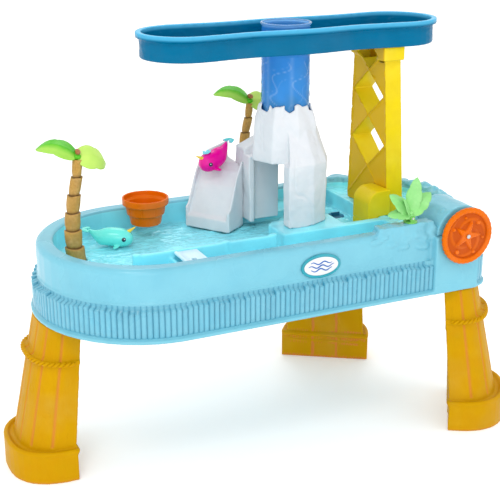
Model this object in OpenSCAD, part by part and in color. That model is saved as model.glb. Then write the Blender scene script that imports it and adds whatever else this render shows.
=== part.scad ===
// Sand and water play table on three splayed legs, with a paddle wheel, a raised rain tray,
// a waterfall tower with a slide, palm trees, a leaf flinger, a bucket and two floating toys.
// Lengths are millimetres. The plan is drawn about the basin, then moved so that the origin
// is the centre of the whole table's footprint, on the floor. X is the long way, +Y the back.

/* [Basin] */
// Radius of the two rounded ends at the rim
end_r = 229; // [215:1:240]
// Height of the rim above the floor
rim_z = 486; // [470:1:510]
// Height of the lower edge of the skirt
skirt_z = 336; // [320:1:345]
// Height of the pool floor
floor_z = 432; // [428:1:440]
// Height of the dock and of the river walls
dock_z = 468; // [462:1:472]
// Plan width of the rolled rim
rim_w = 37; // [30:1:40]
// Thickness of the moulded walls
wall = 4; // [3:0.5:4.5]
// Height of the river walls
river_wall_z = 472; // [470:1:476]

/* [Legs] */
// Width of a foot across its inner face
foot_w = 224; // [190:1:230]
// Depth of a foot from its inner face to its nose
foot_d = 126; // [110:1:136]
// Height of the foot's plain plinth
plinth_h = 66; // [50:1:80]
// Width of a leg where it meets the basin
leg_top_w = 178; // [150:1:190]
// Depth of a leg where it meets the basin
leg_top_d = 72; // [60:1:78]

/* [Wave wheel] */
// Radius of the hand wheel
wheel_r = 64; // [50:1:66]
// Thickness of the hand wheel
wheel_t = 13; // [10:1:16]
// Height of the wheel's axle
axle_z = 467; // [460:1:470]
// Radius of the wheel's axle
axle_r = 6; // [5:0.5:7]
// Number of paddles
paddle_count = 6; // [4:1:8]

/* [Rain tray and column] */
// Height of the tray's rim
tray_z = 900; // [880:1:910]
// Inside depth of the tray
tray_depth = 50; // [40:1:54]
// Half width of the tray at its round ends
tray_r = 98; // [90:1:100]
// Outer radius of the waterfall tube
tube_r = 53; // [48:1:56]

/* [Bucket and trees] */
// Radius of the bucket's mouth
bucket_r = 52; // [50:1:56]
// Height of the bucket
bucket_h = 61; // [56:1:70]
// Height of a palm trunk
trunk_h = 224; // [200:1:230]

/* [Hidden] */
$fn = 64;
eps = 0.01;
gap = 0.3;                      // clearance between separate pieces

// Basin plan
left_c = [-208, 10];            // centre of the left end
right_c = [312, 10];            // centre of the right end
corner_c = [468, -179];         // centre of the small corner in front of the wheel
corner_r = 40;
corner_v = corner_c - right_c;
side_angle = atan2(corner_v[1], corner_v[0]) + acos((end_r - corner_r) / norm(corner_v));
skirt_step_z = 415;             // top of the picket band
skirt_out = 10;                 // how far the picket band stands out
flange_out = 18;                // how far the bottom flange stands out
flange_h = 8;
web_z = 404;                    // underside of the ring that the legs bolt to
web_in = -75;

// Places on the basin
wheel_x = 434;
hump_r = 62;
hump_y0 = -228;
hump_y1 = -126;
well_x = 58;                    // half length of the paddle well
well_y0 = -180;
well_y1 = -132;
well_z = 411;
divider_y0 = -85;
divider_y1 = -73;
divider_x0 = -267;
divider_x1 = 60;
drain = [297, 86];
drain_r = 17;
gate_x0 = -176;
gate_x1 = -130;
gate_z = 466;
plate_t = 4;

// Leg placement: centre of the inner face at the floor, and the way the leg faces
LEGS = [[[-409, 10], 180], [[479, -160], -35], [[348, 214], 57]];
leg_in = 27;                    // how far the top leans back towards the table
neck_w = 148;                   // part of the leg that goes up inside the skirt
neck_d = 52;
neck_in = 40;
leg_screw_v = 45;
leg_screw_u = -17;

// Tower, tube, column and tray
tube_c = [141, 47];
tower_low = [[67, -49], [165, -49], [207, -28], [227, 10], [227, 120], [200, 150], [67, 150]];
arch_z = 606;                   // top of the tower's openings, underside of its crag
crag_z = [arch_z, 618, 690, 732];   // heights and radii of the eight-sided crag
crag_r = [79, 79, 72, 60];
tower_z = crag_z[3];
crag_turn = -92.5;
plate_z = 634;                  // plate that the tube stands on
bank_z = 452;
tower_screws_at = [[115, -36], [180, -36]];
slide_screws_at = [128, 140];
tray_left = -99;
tray_right = 409;
tray_y = 46;
tray_wall = 4;
tray_floor_z = tray_z - tray_depth;
post_low = [[359, -42], [401, -42], [401, 116], [345, 116]];
post_high = [[349, -25], [389, -25], [389, 99], [343, 99]];
post_x = 371;                   // middle of the column
post_y = 37;
post_screws = [-30, 104];
tray_screws = [-2, 76];
post_z = tray_floor_z - tray_wall - gap;
crossings = [564, 683, 787, 860];   // heights where the lattice bars cross

// Loose toys, trees and bucket
palm_front = [-351, 33, floor_z];
palm_rear = [124, 221, rim_z];
rear_trunk_h = trunk_h - 16;
bucket_c = [-157, 145];
bucket_z = 462;
teal_at = [-250, 97];
pink_at = [11, 148];
flinger_at = [318, -202];
flinger_z = 500;
badge_at = [92, 442];

// Moves the middle of the footprint onto the origin
shift = [-36.55, -29.2, 0];

// Points of an arc, counter-clockwise
function arc(c, r, a0, a1, n) = [for (i = [0:n]) let (a = a0 + (a1 - a0) * i / n) c + r * [cos(a), sin(a)]];

// Basin outline, moved outwards by d
function outline(d) = concat(
    arc(left_c, end_r + d, 90, 270, 24),
    arc(corner_c, max(corner_r + d, 1), 270, 360 + side_angle, 5),
    arc(right_c, end_r + d, side_angle, 90, 14));

function unit(v) = v / norm(v);
function turn(v) = [-v[1], v[0]];

// A convex counter-clockwise outline moved inwards by d
function inset(p, d) = let (n = len(p)) [for (i = [0:n - 1])
    let (n1 = turn(unit(p[i] - p[(i + n - 1) % n])), n2 = turn(unit(p[(i + 1) % n] - p[i])))
    p[i] + d * (n1 + n2) / (1 + n1 * n2)];

// Foot and leg section: flat inner face on u = 0, rounded nose at u = d
function nose(w, d) = [for (i = [0:20]) let (t = -90 + 9 * i)
    [d * pow(max(cos(t), 0), 0.8), w / 2 * sign(t) * pow(abs(sin(t)), 0.8)]];

// Slab of a plan outline between two heights
module slab(points, z0, z1) {
    translate([0, 0, z0]) linear_extrude(z1 - z0) polygon(points);
}

module box(low, high) {
    translate(low) cube(high - low);
}

// Moves a piece from the basin's plan to the table's own origin
module placed() {
    translate(shift) children();
}

module on_leg(i) {
    translate(LEGS[i][0]) rotate(LEGS[i][1]) children();
}

// Rod along +Y from y0 to y1 on the wheel's axis
module wheel_rod(r, y0, y1) {
    translate([wheel_x, y0, axle_z]) rotate([-90, 0, 0]) cylinder(r = r, h = y1 - y0);
}

// ---- Basin ----

module river_walls() {
    box([divider_x0, divider_y0, floor_z - 1], [divider_x1, divider_y1, river_wall_z]);
    for (x = [divider_x0 + 8, -60, divider_x1 - 8])
        translate([x, divider_y1 - 6, floor_z - 1]) cylinder(r = 8, h = river_wall_z + 4 - floor_z);
    box([gate_x0 - 12, -184, floor_z - 1], [gate_x0 - 4, divider_y0 + 1, river_wall_z - 14]);
}

// Raised dock under the front pier, and the plateau that carries the column
module dock() {
    difference() {
        union() {
            slab([[78, -79], [332, -79], [332, -58], [238, -58], [238, 16], [92, 16], [78, 0]],
                floor_z - 1, dock_z);
            intersection() {
                slab(outline(-rim_w + 1), floor_z - 1, dock_z);
                box([330, -112, floor_z - 2], [560, 260, dock_z + 1]);
            }
            bank(0);
        }
        slab([[82, -75], [328, -75], [328, -62], [234, -62], [234, 12], [94, 12], [82, -2]],
            floor_z - 5, dock_z - wall);
        intersection() {
            slab(outline(-rim_w - wall), floor_z - 5, dock_z - wall);
            box([334, -108, floor_z - 6], [560, 260, dock_z]);
        }
    }
}

// Rock blocks along the right-hand rim
module rim_rocks() {
    for (i = [0:7]) {
        a = -4 + 11 * i;
        translate(right_c + (end_r - 19) * [cos(a), sin(a)]) rotate(17 * i)
            translate([0, 0, rim_z - 10]) cylinder(r = 17 - i % 3, h = 15 + 3 * (i % 2), $fn = 7);
    }
    slab([[232, -218], [370, -218], [370, -186], [236, -186]], rim_z - 8, flinger_z);
}

module front_column() {
    slab([[366, -238], [478, -238], [490, -200], [362, -200]], skirt_z, axle_z);
}

module basin_shell() {
    difference() {
        union() {
            slab(outline(0), skirt_step_z - 1, rim_z);
            slab(outline(skirt_out), skirt_z, skirt_step_z);
            slab(outline(flange_out), skirt_z, skirt_z + flange_h);
            front_column();
        }
        slab(outline(-rim_w), floor_z, rim_z + 1);
        slab(outline(skirt_out - wall), skirt_z - 1, web_z);
        slab([[371, -234], [474, -234], [484, -200], [366, -200]], skirt_z - 1, axle_z - 8);
        difference() {
            slab(outline(-wall), web_z + wall, rim_z - wall);
            slab(outline(-rim_w + wall), web_z + wall - 1, rim_z);
        }
        slab(outline(-rim_w - eps), web_z + wall, floor_z - wall);
        slab(outline(web_in), skirt_z, floor_z - wall);
    }
}

module basin() color([0.53, 0.83, 0.92]) placed() {
    difference() {
        union() {
            basin_shell();
            river_walls();
            dock();
            rim_rocks();
            for (i = [0:2]) on_leg(i) for (v = [-1, 1])
                translate([leg_screw_u, v * leg_screw_v, web_z + 1]) cylinder(r = 8, h = 17);
            box([wheel_x - well_x - wall, well_y0 - wall, well_z - wall],
                [wheel_x + well_x + wall, well_y1 + wall, floor_z]);
            box([wheel_x - 20, well_y1, floor_z - 1], [wheel_x + 20, hump_y1 + 6, axle_z]);
            translate([drain[0], drain[1], floor_z - 14]) cylinder(r = drain_r + 5, h = 14);
            translate([palm_front[0], palm_front[1], floor_z - 1]) cylinder(r = 27, h = 9);
            for (y = [-181, divider_y0 - 5])
                box([gate_x1 - 8, y, floor_z - 1], [gate_x1 - 2, y + 6, gate_z - gap]);
        }
        box([wheel_x - hump_r - 3, hump_y0 - 12, axle_z], [wheel_x + hump_r + 3, hump_y1 + 3, rim_z + 20]);
        box([wheel_x - well_x, well_y0, well_z], [wheel_x + well_x, well_y1, axle_z + 1]);
        wheel_rod(axle_r + 0.1, hump_y0 - 20, hump_y1 + 10);
        translate([drain[0], drain[1], floor_z - 20]) cylinder(r = drain_r, h = 30);
        translate([palm_front[0], palm_front[1], floor_z]) cylinder(r = 20.2, h = 20);
        translate([palm_rear[0], palm_rear[1], rim_z - 12]) cylinder(r = 13.2, h = 20);
        translate([flinger_at[0], flinger_at[1], flinger_z - 10]) cylinder(r = 8.1, h = 20);
        for (y = [-190, divider_y0 - 2]) translate([gate_x0, y, gate_z + 2])
            rotate([-90, 0, 0]) cylinder(r = 2.1, h = 12);
        for (i = [0:2]) on_leg(i) for (v = [-1, 1])
            translate([leg_screw_u, v * leg_screw_v, web_z - 1]) cylinder(r = 2.05, h = 16);
        for (x = [-1, 1]) translate([wheel_x + x * 57, -200, axle_z - 12]) cylinder(r = 1.55, h = 20);
        for (p = tower_screws_at) translate([p[0], p[1], dock_z - 12]) cylinder(r = 1.55, h = 20);
        for (y = post_screws) translate([post_x, y, dock_z - 12]) cylinder(r = 1.55, h = 20);
    }
}

module drain_plug() color([0.1, 0.3, 0.6]) placed() translate([drain[0], drain[1], 0]) {
    translate([0, 0, floor_z]) cylinder(r = drain_r + 4, h = 3);
    translate([0, 0, floor_z - 12]) cylinder(r = drain_r - 0.08, h = 12 + eps);
    box([-11, -2, floor_z + 3 - eps], [11, 2, floor_z + 11]);
}

module river_gate() color([0.78, 0.88, 0.94]) placed() difference() {
    union() {
        box([gate_x0, -180, gate_z], [gate_x1, divider_y0 - 3, gate_z + plate_t]);
        translate([gate_x0, -180, gate_z + 2]) rotate([-90, 0, 0]) cylinder(r = 4, h = 92);
    }
    translate([(gate_x0 + gate_x1) / 2 - 4, -142, gate_z - 1]) cylinder(r = 6, h = 8);
    for (y = [-181, divider_y0 - 14]) translate([gate_x0, y, gate_z + 2])
        rotate([-90, 0, 0]) cylinder(r = 2.1, h = 12);
}

module gate_pins() color([0.6, 0.62, 0.65]) placed() {
    for (y = [-189.5, divider_y0 - 12]) translate([gate_x0, y, gate_z + 2])
        rotate([-90, 0, 0]) cylinder(r = 2.02, h = 18);
}

module badge() color([0.16, 0.4, 0.75]) placed() {
    translate([badge_at[0], left_c[1] - end_r - gap, badge_at[1]]) rotate([90, 0, 0]) {
        linear_extrude(4) polygon([for (i = [0:35]) [46 * cos(10 * i), 26 * sin(10 * i)]]);
    }
}

// ---- Legs ----

module leg(i) {
    z_top = web_z - gap;
    color([0.93, 0.66, 0.05]) placed() difference() {
        on_leg(i) difference() {
            union() {
                hull() {
                    slab(nose(foot_w - 26, foot_d - 22), plinth_h - 1, plinth_h);
                    translate([-leg_in, 0, 0]) slab(nose(leg_top_w, leg_top_d), skirt_z - 1, skirt_z - gap);
                }
                translate([-neck_in, 0, 0]) slab(nose(neck_w, neck_d), skirt_z - 3, z_top);
                slab(nose(foot_w, foot_d), 0, plinth_h);
                translate([-leg_in * 0.72, 0, 0]) slab(nose(leg_top_w + 14, leg_top_d + 19), 256, 266);
            }
            hull() {
                translate([4, 0, 0]) slab(nose(foot_w - 34, foot_d - 30), plinth_h - 1, plinth_h);
                translate([-leg_in + 4, 0, 0])
                    slab(nose(leg_top_w - 8, leg_top_d - 8), skirt_z - 6, skirt_z - 5);
            }
            translate([4 - neck_in, 0, 0]) slab(nose(neck_w - 8, neck_d - 8), skirt_z - 6, z_top - wall);
            translate([4, 0, 0]) slab(nose(foot_w - 8, foot_d - 8), -1, plinth_h - 5);
            translate([4, 0, 0]) slab(nose(foot_w - 34, foot_d - 30), plinth_h - 6, plinth_h + 0.5);
            for (v = [-1, 1]) translate([leg_screw_u, v * leg_screw_v, web_z - 10]) cylinder(r = 2.4, h = 20);
        }
    }
}

module left_leg() leg(0);
module front_leg() leg(1);
module rear_leg() leg(2);

module leg_screws() color([0.7, 0.7, 0.72]) placed() {
    for (i = [0:2]) on_leg(i) for (v = [-1, 1]) translate([leg_screw_u, v * leg_screw_v, 0]) {
        translate([0, 0, web_z - wall - gap - 3.1]) cylinder(r = 5, h = 3);
        translate([0, 0, web_z - wall - gap - 0.2]) cylinder(r = 2, h = 17);
    }
}

// ---- Wave wheel ----

module half_round(r, y0, y1) {
    intersection() {
        wheel_rod(r, y0, y1);
        box([wheel_x - 80, y0 - 1, axle_z + gap], [wheel_x + 80, y1 + 1, axle_z + 80]);
    }
}

module wheel_cover() color([0.55, 0.85, 0.95]) placed() difference() {
    half_round(hump_r, hump_y0, hump_y1);
    half_round(hump_r - wall, hump_y0 + wall, hump_y1 - wall);
    wheel_rod(axle_r + 0.1, hump_y0 - 1, hump_y1 + 1);
    for (x = [-1, 1]) translate([wheel_x + x * 57, -200, axle_z - 1]) cylinder(r = 1.8, h = 80);
}

module cover_screws() color([0.7, 0.7, 0.72]) placed() {
    for (x = [-1, 1]) translate([wheel_x + x * 57, -200, axle_z - 10]) cylinder(r = 1.5, h = 11);
}

module wave_wheel() color([0.96, 0.45, 0.08]) placed() {
    translate([wheel_x, hump_y0 - 14, axle_z]) rotate([90, 0, 0]) difference() {
        linear_extrude(wheel_t)
            polygon([for (i = [0:71]) (wheel_r - 1.5 + 1.5 * cos(5 * i * 18)) * [cos(5 * i), sin(5 * i)]]);
        translate([0, 0, wheel_t - 7]) cylinder(r = wheel_r - 11, h = 8);
        translate([0, 0, -1]) cylinder(r = axle_r + 0.05, h = 9);
        cylinder(r = 2, h = wheel_t);
    }
}

module wheel_axle() color([0.3, 0.3, 0.32]) placed() difference() {
    union() {
        wheel_rod(axle_r, hump_y0 - 21, hump_y1 + 11);
        wheel_rod(axle_r + 4, hump_y0 - 13.6, hump_y0 - 10.6);
    }
    wheel_rod(1.5, hump_y0 - 22, hump_y0 - 8);
    wheel_rod(1.5, hump_y1 + 3, hump_y1 + 12);
}

module wheel_screw() color([0.7, 0.7, 0.72]) placed() {
    wheel_rod(1.45, hump_y0 - 26, hump_y0 - 9);
    wheel_rod(4.5, hump_y0 - 28, hump_y0 - 25.1);
}

module axle_clip() color([0.7, 0.7, 0.72]) placed() {
    wheel_rod(1.45, hump_y1 + 4, hump_y1 + 12);
    wheel_rod(9, hump_y1 + 11.1, hump_y1 + 13);
}

module paddle_wheel() color([0.85, 0.3, 0.1]) placed() {
    difference() {
        union() {
            wheel_rod(13, well_y0 + 5, well_y1 - 5);
            for (i = [0:paddle_count - 1])
                translate([wheel_x, 0, axle_z]) rotate([0, 360 * i / paddle_count, 0])
                    box([-1.75, well_y0 + 5, 8], [1.75, well_y1 - 5, 50]);
        }
        wheel_rod(axle_r + 0.04, well_y0, well_y1);
    }
}

// ---- Tower and slide ----

// Eight-sided rock that narrows upwards, moved inwards by d
module crag(d) {
    translate([tube_c[0], tube_c[1], 0]) rotate(crag_turn) for (i = [0:2]) {
        rise = crag_z[i + 1] - crag_z[i];
        translate([0, 0, crag_z[i] - eps])
            cylinder(r1 = crag_r[i] - d, r2 = crag_r[i + 1] - d, h = rise + 2 * eps, $fn = 8);
    }
}

// Openings between the piers, moved outwards by d
module pier_gaps(d) {
    z_top = arch_z + 1;
    box([50, -60, 440], [105 + d, 74 + d, z_top]);
    box([148 - d, 34 - d, 440], [240, 160, z_top]);
    box([50, -60, 440], [240, 18 + d, dock_z + gap + d]);
    box([80 - d, -20 - d, 440], [200 + d, 90 + d, z_top]);
}

module piers(d) {
    difference() {
        slab(inset(tower_low, d), bank_z + gap - (d > 0 ? 1 : 0), arch_z + 1 - d - (d > 0 ? 1 : 0));
        pier_gaps(d);
    }
}

// Shoulder that carries the slide's back wall on to the crag
module shoulder(d) {
    translate([0, 150 - d, 0]) rotate([90, 0, 0]) linear_extrude(46 - 2 * d)
        polygon([[67 + d, arch_z - 1], [125, arch_z - 1], [125, 644 - d], [115, 640 - d], [67 + d, 617 - d]]);
}

module tower() color([0.93, 0.94, 0.96]) placed() difference() {
    union() {
        piers(0);
        crag(0);
        shoulder(0);
    }
    piers(wall);
    difference() {
        union() {
            crag(wall);
            shoulder(wall);
        }
        box([0, -100, arch_z - 2], [300, 200, arch_z + wall]);
        box([0, -100, plate_z], [300, 200, plate_z + wall]);
    }
    translate([tube_c[0], tube_c[1], arch_z - 2]) cylinder(r = tube_r - 4, h = 40);
    translate([tube_c[0], tube_c[1], plate_z + wall]) cylinder(r = tube_r + 0.3, h = 200);
    for (i = [0:5]) translate([tube_c[0], tube_c[1], tower_z - 10 - 3 * (i % 2)]) rotate(60 * i + 12)
        box([40, -11 + 2 * (i % 3), 0], [80, 11, 30]);
    for (p = tower_screws_at) translate([p[0], p[1], dock_z - 1]) cylinder(r = 1.7, h = 8);
    for (y = slide_screws_at) translate([50, y, 540]) rotate([0, 90, 0]) cylinder(r = 1.55, h = 30);
}

// Slide plan, and the run of its sliding face uphill from the toe
slide_plan = [[-56, 160], [11, 64], [66.6, 108], [66.6, 199], [0, 199]];
slide_toe = [-27, 118.5];
slide_turn = 35;
function slide_run(lift) = [[-40, 436], [130, 436], [130, 584 + lift], [85, 578 + lift], [62, 562 + lift],
    [40, 532 + lift], [22, 494 + lift], [10, 470 + lift], [0, 463 + lift], [-40, 463 + lift]];

module bank(d) {
    intersection() {
        slab(outline(-rim_w + 1), floor_z - 1, bank_z + d);
        slab(concat(arc([128, 230], 112 + d, 180, 360, 16), [[240, 300], [16, 300]]), floor_z - 2, bank_z + d);
    }
}

module slide_wedge(plan, lift) {
    intersection() {
        slab(plan, floor_z + 4, 660);
        along_slide() polygon(slide_run(lift));
    }
}

// Places the run of the slide: X uphill from the toe, Z up
module along_slide() {
    translate(slide_toe) rotate(slide_turn) translate([0, 120, 0]) rotate([90, 0, 0])
        linear_extrude(240) children();
}

// Space between the slide's two rails, open at both ends
module chute() {
    intersection() {
        translate(slide_toe) rotate(slide_turn)
            slab([[-20, -60], [140, -56], [140, 44.5], [-20, 44.5]], 400, 700);
        box([-100, 0, 400], [90, 191, 700]);
    }
}

// Back wall beside the top of the slide
module slide_back(d) {
    intersection() {
        slab([[-4, 191 + d], [-2, 198 - d], [0, 199 - d], [66.6 - d, 199 - d], [66.6 - d, 191 + d]], 500, 640);
        along_slide() polygon([[62, 500], [130, 500], [130, 621 - d], [84, 602 - d], [62, 582 - d]]);
    }
}

module slide() color([0.93, 0.94, 0.96]) placed() difference() {
    union() {
        slide_wedge(slide_plan, 20);
        slide_back(0);
    }
    difference() {
        chute();
        slide_wedge(slide_plan, 0);
    }
    translate([0, 0, -5]) slide_wedge(inset(slide_plan, wall), 0);
    bank(gap);
    for (y = slide_screws_at) translate([50, y, 540]) rotate([0, 90, 0]) cylinder(r = 1.8, h = 30);
}

module tower_screws() color([0.7, 0.7, 0.72]) placed() {
    for (p = tower_screws_at) translate([p[0], p[1], dock_z - 11]) cylinder(r = 1.5, h = 18);
    for (y = slide_screws_at) translate([56, y, 540]) rotate([0, 90, 0]) cylinder(r = 1.5, h = 20);
}

module waterfall_tube() color([0.2, 0.6, 0.95, 0.5]) placed()
translate([tube_c[0], tube_c[1], 0]) difference() {
    union() {
        translate([0, 0, plate_z + wall + gap]) cylinder(r = tube_r, h = tray_z - plate_z);
        translate([0, 0, tray_floor_z - tray_wall - 8]) cylinder(r = tube_r + 6, h = 8 - gap);
    }
    translate([0, 0, plate_z]) cylinder(r = tube_r - 2.5, h = 300);
}

// ---- Tray and column ----

// Tray outline moved outwards by d: round ends, two shallow waists between them
function tray_half(x) = tray_r - 9 * pow(sin(360 * (x - tray_left) / (tray_right - tray_left)), 2);
function tray_outline(d) = concat(
    [for (i = [1:15]) let (x = tray_left + (tray_right - tray_left) * i / 16) [x, tray_y - tray_half(x) - d]],
    arc([tray_right, tray_y], tray_r + d, 270, 450, 16),
    [for (i = [1:15]) let (x = tray_right + (tray_left - tray_right) * i / 16) [x, tray_y + tray_half(x) + d]],
    arc([tray_left, tray_y], tray_r + d, 90, 270, 16));

module rain_tray() color([0.07, 0.42, 0.68]) placed() difference() {
    union() {
        slab(tray_outline(-8), tray_floor_z - tray_wall, tray_z);
        slab(tray_outline(0), tray_z - 12, tray_z);
    }
    slab(tray_outline(-8 - tray_wall), tray_floor_z, tray_z + 1);
    translate([tube_c[0], tube_c[1], tray_floor_z - 10]) cylinder(r = tube_r + 0.4, h = 30);
    for (i = [0:11]) translate([tray_left + 45 * cos(30 * i), tray_y + 45 * sin(30 * i), tray_floor_z - 10])
        cylinder(r = 3, h = 20);
    for (i = [0:5]) translate([tray_left + 22 * cos(60 * i), tray_y + 22 * sin(60 * i), tray_floor_z - 10])
        cylinder(r = 3, h = 20);
    translate([post_x, post_y, tray_floor_z - 10]) cylinder(r = 14, h = 20);
    for (y = tray_screws) translate([post_x, y, tray_floor_z - 10]) cylinder(r = 1.8, h = 20);
}

module post_body(d) {
    hull() {
        slab(inset(post_low, d), dock_z + gap + d, dock_z + gap + d + 1);
        slab(inset(post_high, d), post_z - 31, post_z - 30);
    }
}

// Diamond opening between two crossings, right through the column, moved outwards by d
module lattice_cell(k, d) {
    mid = (crossings[k] + crossings[k + 1]) / 2;
    half = (crossings[k + 1] - crossings[k]) / 2 - 2 + d;
    side = [61.5, 57, 45][k] + d;
    intersection() {
        translate([post_low[3][0] - 20, post_y, mid]) rotate([90, 0, 90]) linear_extrude(100)
            polygon([[0, -half], [side, 0], [0, half], [-side, 0]]);
        box([post_low[3][0] - 30, -100, 500], [post_low[1][0] + 30, 200, tray_floor_z - 2 * tray_wall - 4]);
    }
}

module lattice_column() color([0.95, 0.82, 0.1]) placed() difference() {
    union() {
        post_body(0);
        box([340, post_high[0][1] - 10, post_z - 30 - eps], [393, post_high[2][1] + 10, post_z]);
    }
    difference() {
        post_body(wall);
        for (k = [0:2]) lattice_cell(k, wall);
    }
    box([346, post_high[0][1] + 2, post_z - 36], [385, post_high[2][1] - 2, post_z - wall]);
    for (k = [0:2]) lattice_cell(k, 0);
    translate([post_x, post_y, post_z - 10]) cylinder(r = 14, h = 20);
    // way from the column into the hood
    box([346, -30, dock_z + 20], [366, 8, dock_z + 56]);
    for (y = post_screws) translate([post_x, y, dock_z - 1]) cylinder(r = 1.8, h = 20);
    for (y = tray_screws) translate([post_x, y, post_z - 10]) cylinder(r = 1.55, h = 20);
}

module spout_hood() color([0.97, 0.83, 0.12]) placed() difference() {
    translate([0, 14, 0]) rotate([90, 0, 0]) linear_extrude(70)
        polygon(concat([[302, 434], [314, 434], [329, 450], [329, dock_z + gap]],
            [[359, dock_z + gap], [359, 528]], arc([334, 496], 32, 90, 180, 8)));
    translate([0, 10, 0]) rotate([90, 0, 0]) linear_extrude(62)
        polygon(concat([[306, 432], [312, 432], [325, 449], [325, 476], [362, 476], [362, 524]],
            arc([334, 496], 28, 90, 180, 8)));
    post_body(-gap);
}

module column_screws() color([0.75, 0.5, 0.2]) placed() {
    for (y = post_screws) translate([post_x, y, dock_z - 10]) {
        cylinder(r = 1.5, h = 18);
        translate([0, 0, 10 + wall + gap + 0.2]) cylinder(r = 4, h = 3);
    }
    for (y = tray_screws) translate([post_x, y, tray_floor_z - 12]) {
        cylinder(r = 1.5, h = 13);
        translate([0, 0, 12.2]) cylinder(r = 4, h = 3);
    }
}

// ---- Plants ----

// Blade in plan: pointed at both ends, widest beyond the middle
function blade(len, w) = concat(
    [for (i = [0:10]) let (t = i / 10) [len * t, -w / 2 * pow(sin(180 * pow(t, 0.8)), 0.8) - 1.2 * (1 - t)]],
    [for (i = [10:-1:0]) let (t = i / 10) [len * t, w / 2 * pow(sin(180 * pow(t, 0.8)), 0.8) + 1.2 * (1 - t)]]);

// Leaf that starts level at the origin and droops along +X on a round arc
module leaf(len, w, bend_r, t) {
    intersection() {
        translate([0, 50, -bend_r]) rotate([90, 0, 0]) difference() {
            cylinder(r = bend_r, h = 100);
            translate([0, 0, -1]) cylinder(r = bend_r - t, h = 102);
        }
        slab(blade(len, w), -bend_r, 2);
    }
}

module flinger_pivot() {
    translate([flinger_at[0], flinger_at[1], flinger_z + 11]) children();
}

// Leaves of the flinger: way it points, roll about its rib, rise, length, width
LEAVES = [[0, 66, 76, 76, 30], [4, 42, 42, 70, 32], [180, -58, 52, 62, 32], [188, -36, 14, 56, 26],
    [210, -60, 66, 42, 30]];

module leaf_flinger() color([0.6, 0.85, 0.4]) placed() difference() {
    flinger_pivot() {
        rotate([90, 0, 0]) translate([0, 0, -6]) cylinder(r = 7, h = 12);
        translate([0, 0, 3]) cylinder(r = 5, h = 9);
        translate([0, 0, 9]) for (f = LEAVES) rotate(f[0]) rotate([f[1], -f[2], 0]) leaf(f[3], f[4], 130, 3);
    }
    flinger_pivot() translate([0, 20, 0]) rotate([90, 0, 0]) cylinder(r = 2.6, h = 40);
}

module flinger_base() color([0.35, 0.65, 0.25]) placed() difference() {
    union() {
        translate([flinger_at[0], flinger_at[1], flinger_z + gap]) cylinder(r = 15, h = 3);
        translate([flinger_at[0], flinger_at[1], flinger_z - 9]) cylinder(r = 8, h = 10);
        flinger_pivot() for (s = [-1, 1]) box([-5, s * 9 - 2, -9], [5, s * 9 + 2, 4.5]);
    }
    flinger_pivot() translate([0, 20, 0]) rotate([90, 0, 0]) cylinder(r = 2.5, h = 40);
}

module flinger_pin() color([0.7, 0.7, 0.72]) placed() flinger_pivot()
    translate([0, 11.5, 0]) rotate([90, 0, 0]) cylinder(r = 2.5, h = 23);

// How far a trunk's middle strays sideways at a share t of its height
function sway(t) = -20 * t + 30 * t * t;

// Palm trunk of tapering rings that sways a little, its plug in the socket below
module trunk(at, foot_r, plug_r, plug_h, h) {
    translate(at) {
        translate([0, 0, -plug_h]) cylinder(r = plug_r, h = plug_h + 1);
        for (i = [0:5]) {
            r = foot_r * (1 - 0.1 * i);
            translate([sway(i / 6), 0, h * i / 6])
                cylinder(r1 = r, r2 = r - 0.1 * foot_r, h = h / 6 + (i < 5 ? 1 : 0));
        }
    }
}

// Palm fronds: way it points, roll about its rib, rise, length, width, radius of the droop
FRONDS = [[178, -38, 44, 66.5, 46, 67], [-12, 46, 2, 58, 52, 60], [140, -10, 44, 56, 38, 64]];

module nuts(d) {
    translate([1, -5, 16.2]) sphere(r = 5 + d);
    translate([3, 6, 15.7]) sphere(r = 4.5 + d);
}

module crown(at, h) {
    translate(at + [5, 0, h + gap]) difference() {
        union() {
            cylinder(r = 8, h = 11);
            translate([0, 0, 8]) for (f = FRONDS)
                rotate(f[0]) rotate([f[1], -f[2], 0]) leaf(f[3], f[4], f[5], 3);
        }
        nuts(gap);
        translate([0, 0, -20]) cylinder(r = 16, h = 20);
    }
}

module coconuts(at, h) {
    translate(at + [5, 0, h + gap]) nuts(0);
}

module front_palm_trunk() color([0.55, 0.4, 0.2]) placed() trunk(palm_front, 20, 20, 0, trunk_h);
module front_palm_leaves() color([0.35, 0.72, 0.2]) placed() crown(palm_front, trunk_h);
module front_palm_coconuts() color([0.6, 0.42, 0.25]) placed() coconuts(palm_front, trunk_h);
module rear_palm_trunk() color([0.55, 0.4, 0.2]) placed() trunk(palm_rear, 16, 13, 11, rear_trunk_h);
module rear_palm_leaves() color([0.35, 0.72, 0.2]) placed() crown(palm_rear, rear_trunk_h);
module rear_palm_coconuts() color([0.6, 0.42, 0.25]) placed() coconuts(palm_rear, rear_trunk_h);

// ---- Loose pieces ----

module bucket() color([0.95, 0.45, 0.1]) placed() translate([bucket_c[0], bucket_c[1], bucket_z]) {
    rotate_extrude() polygon([[0, 0], [34, 0], [37.5, 21], [42, 23], [45, 44], [bucket_r, 46],
        [bucket_r, bucket_h], [bucket_r - 4, bucket_h], [bucket_r - 4, 49], [42, 47], [39, 26],
        [34.5, 24], [31.5, 3], [0, 3]]);
    box([-13, 39.5, rim_z - bucket_z + gap], [13, 74, rim_z - bucket_z + 5]);
}

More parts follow.
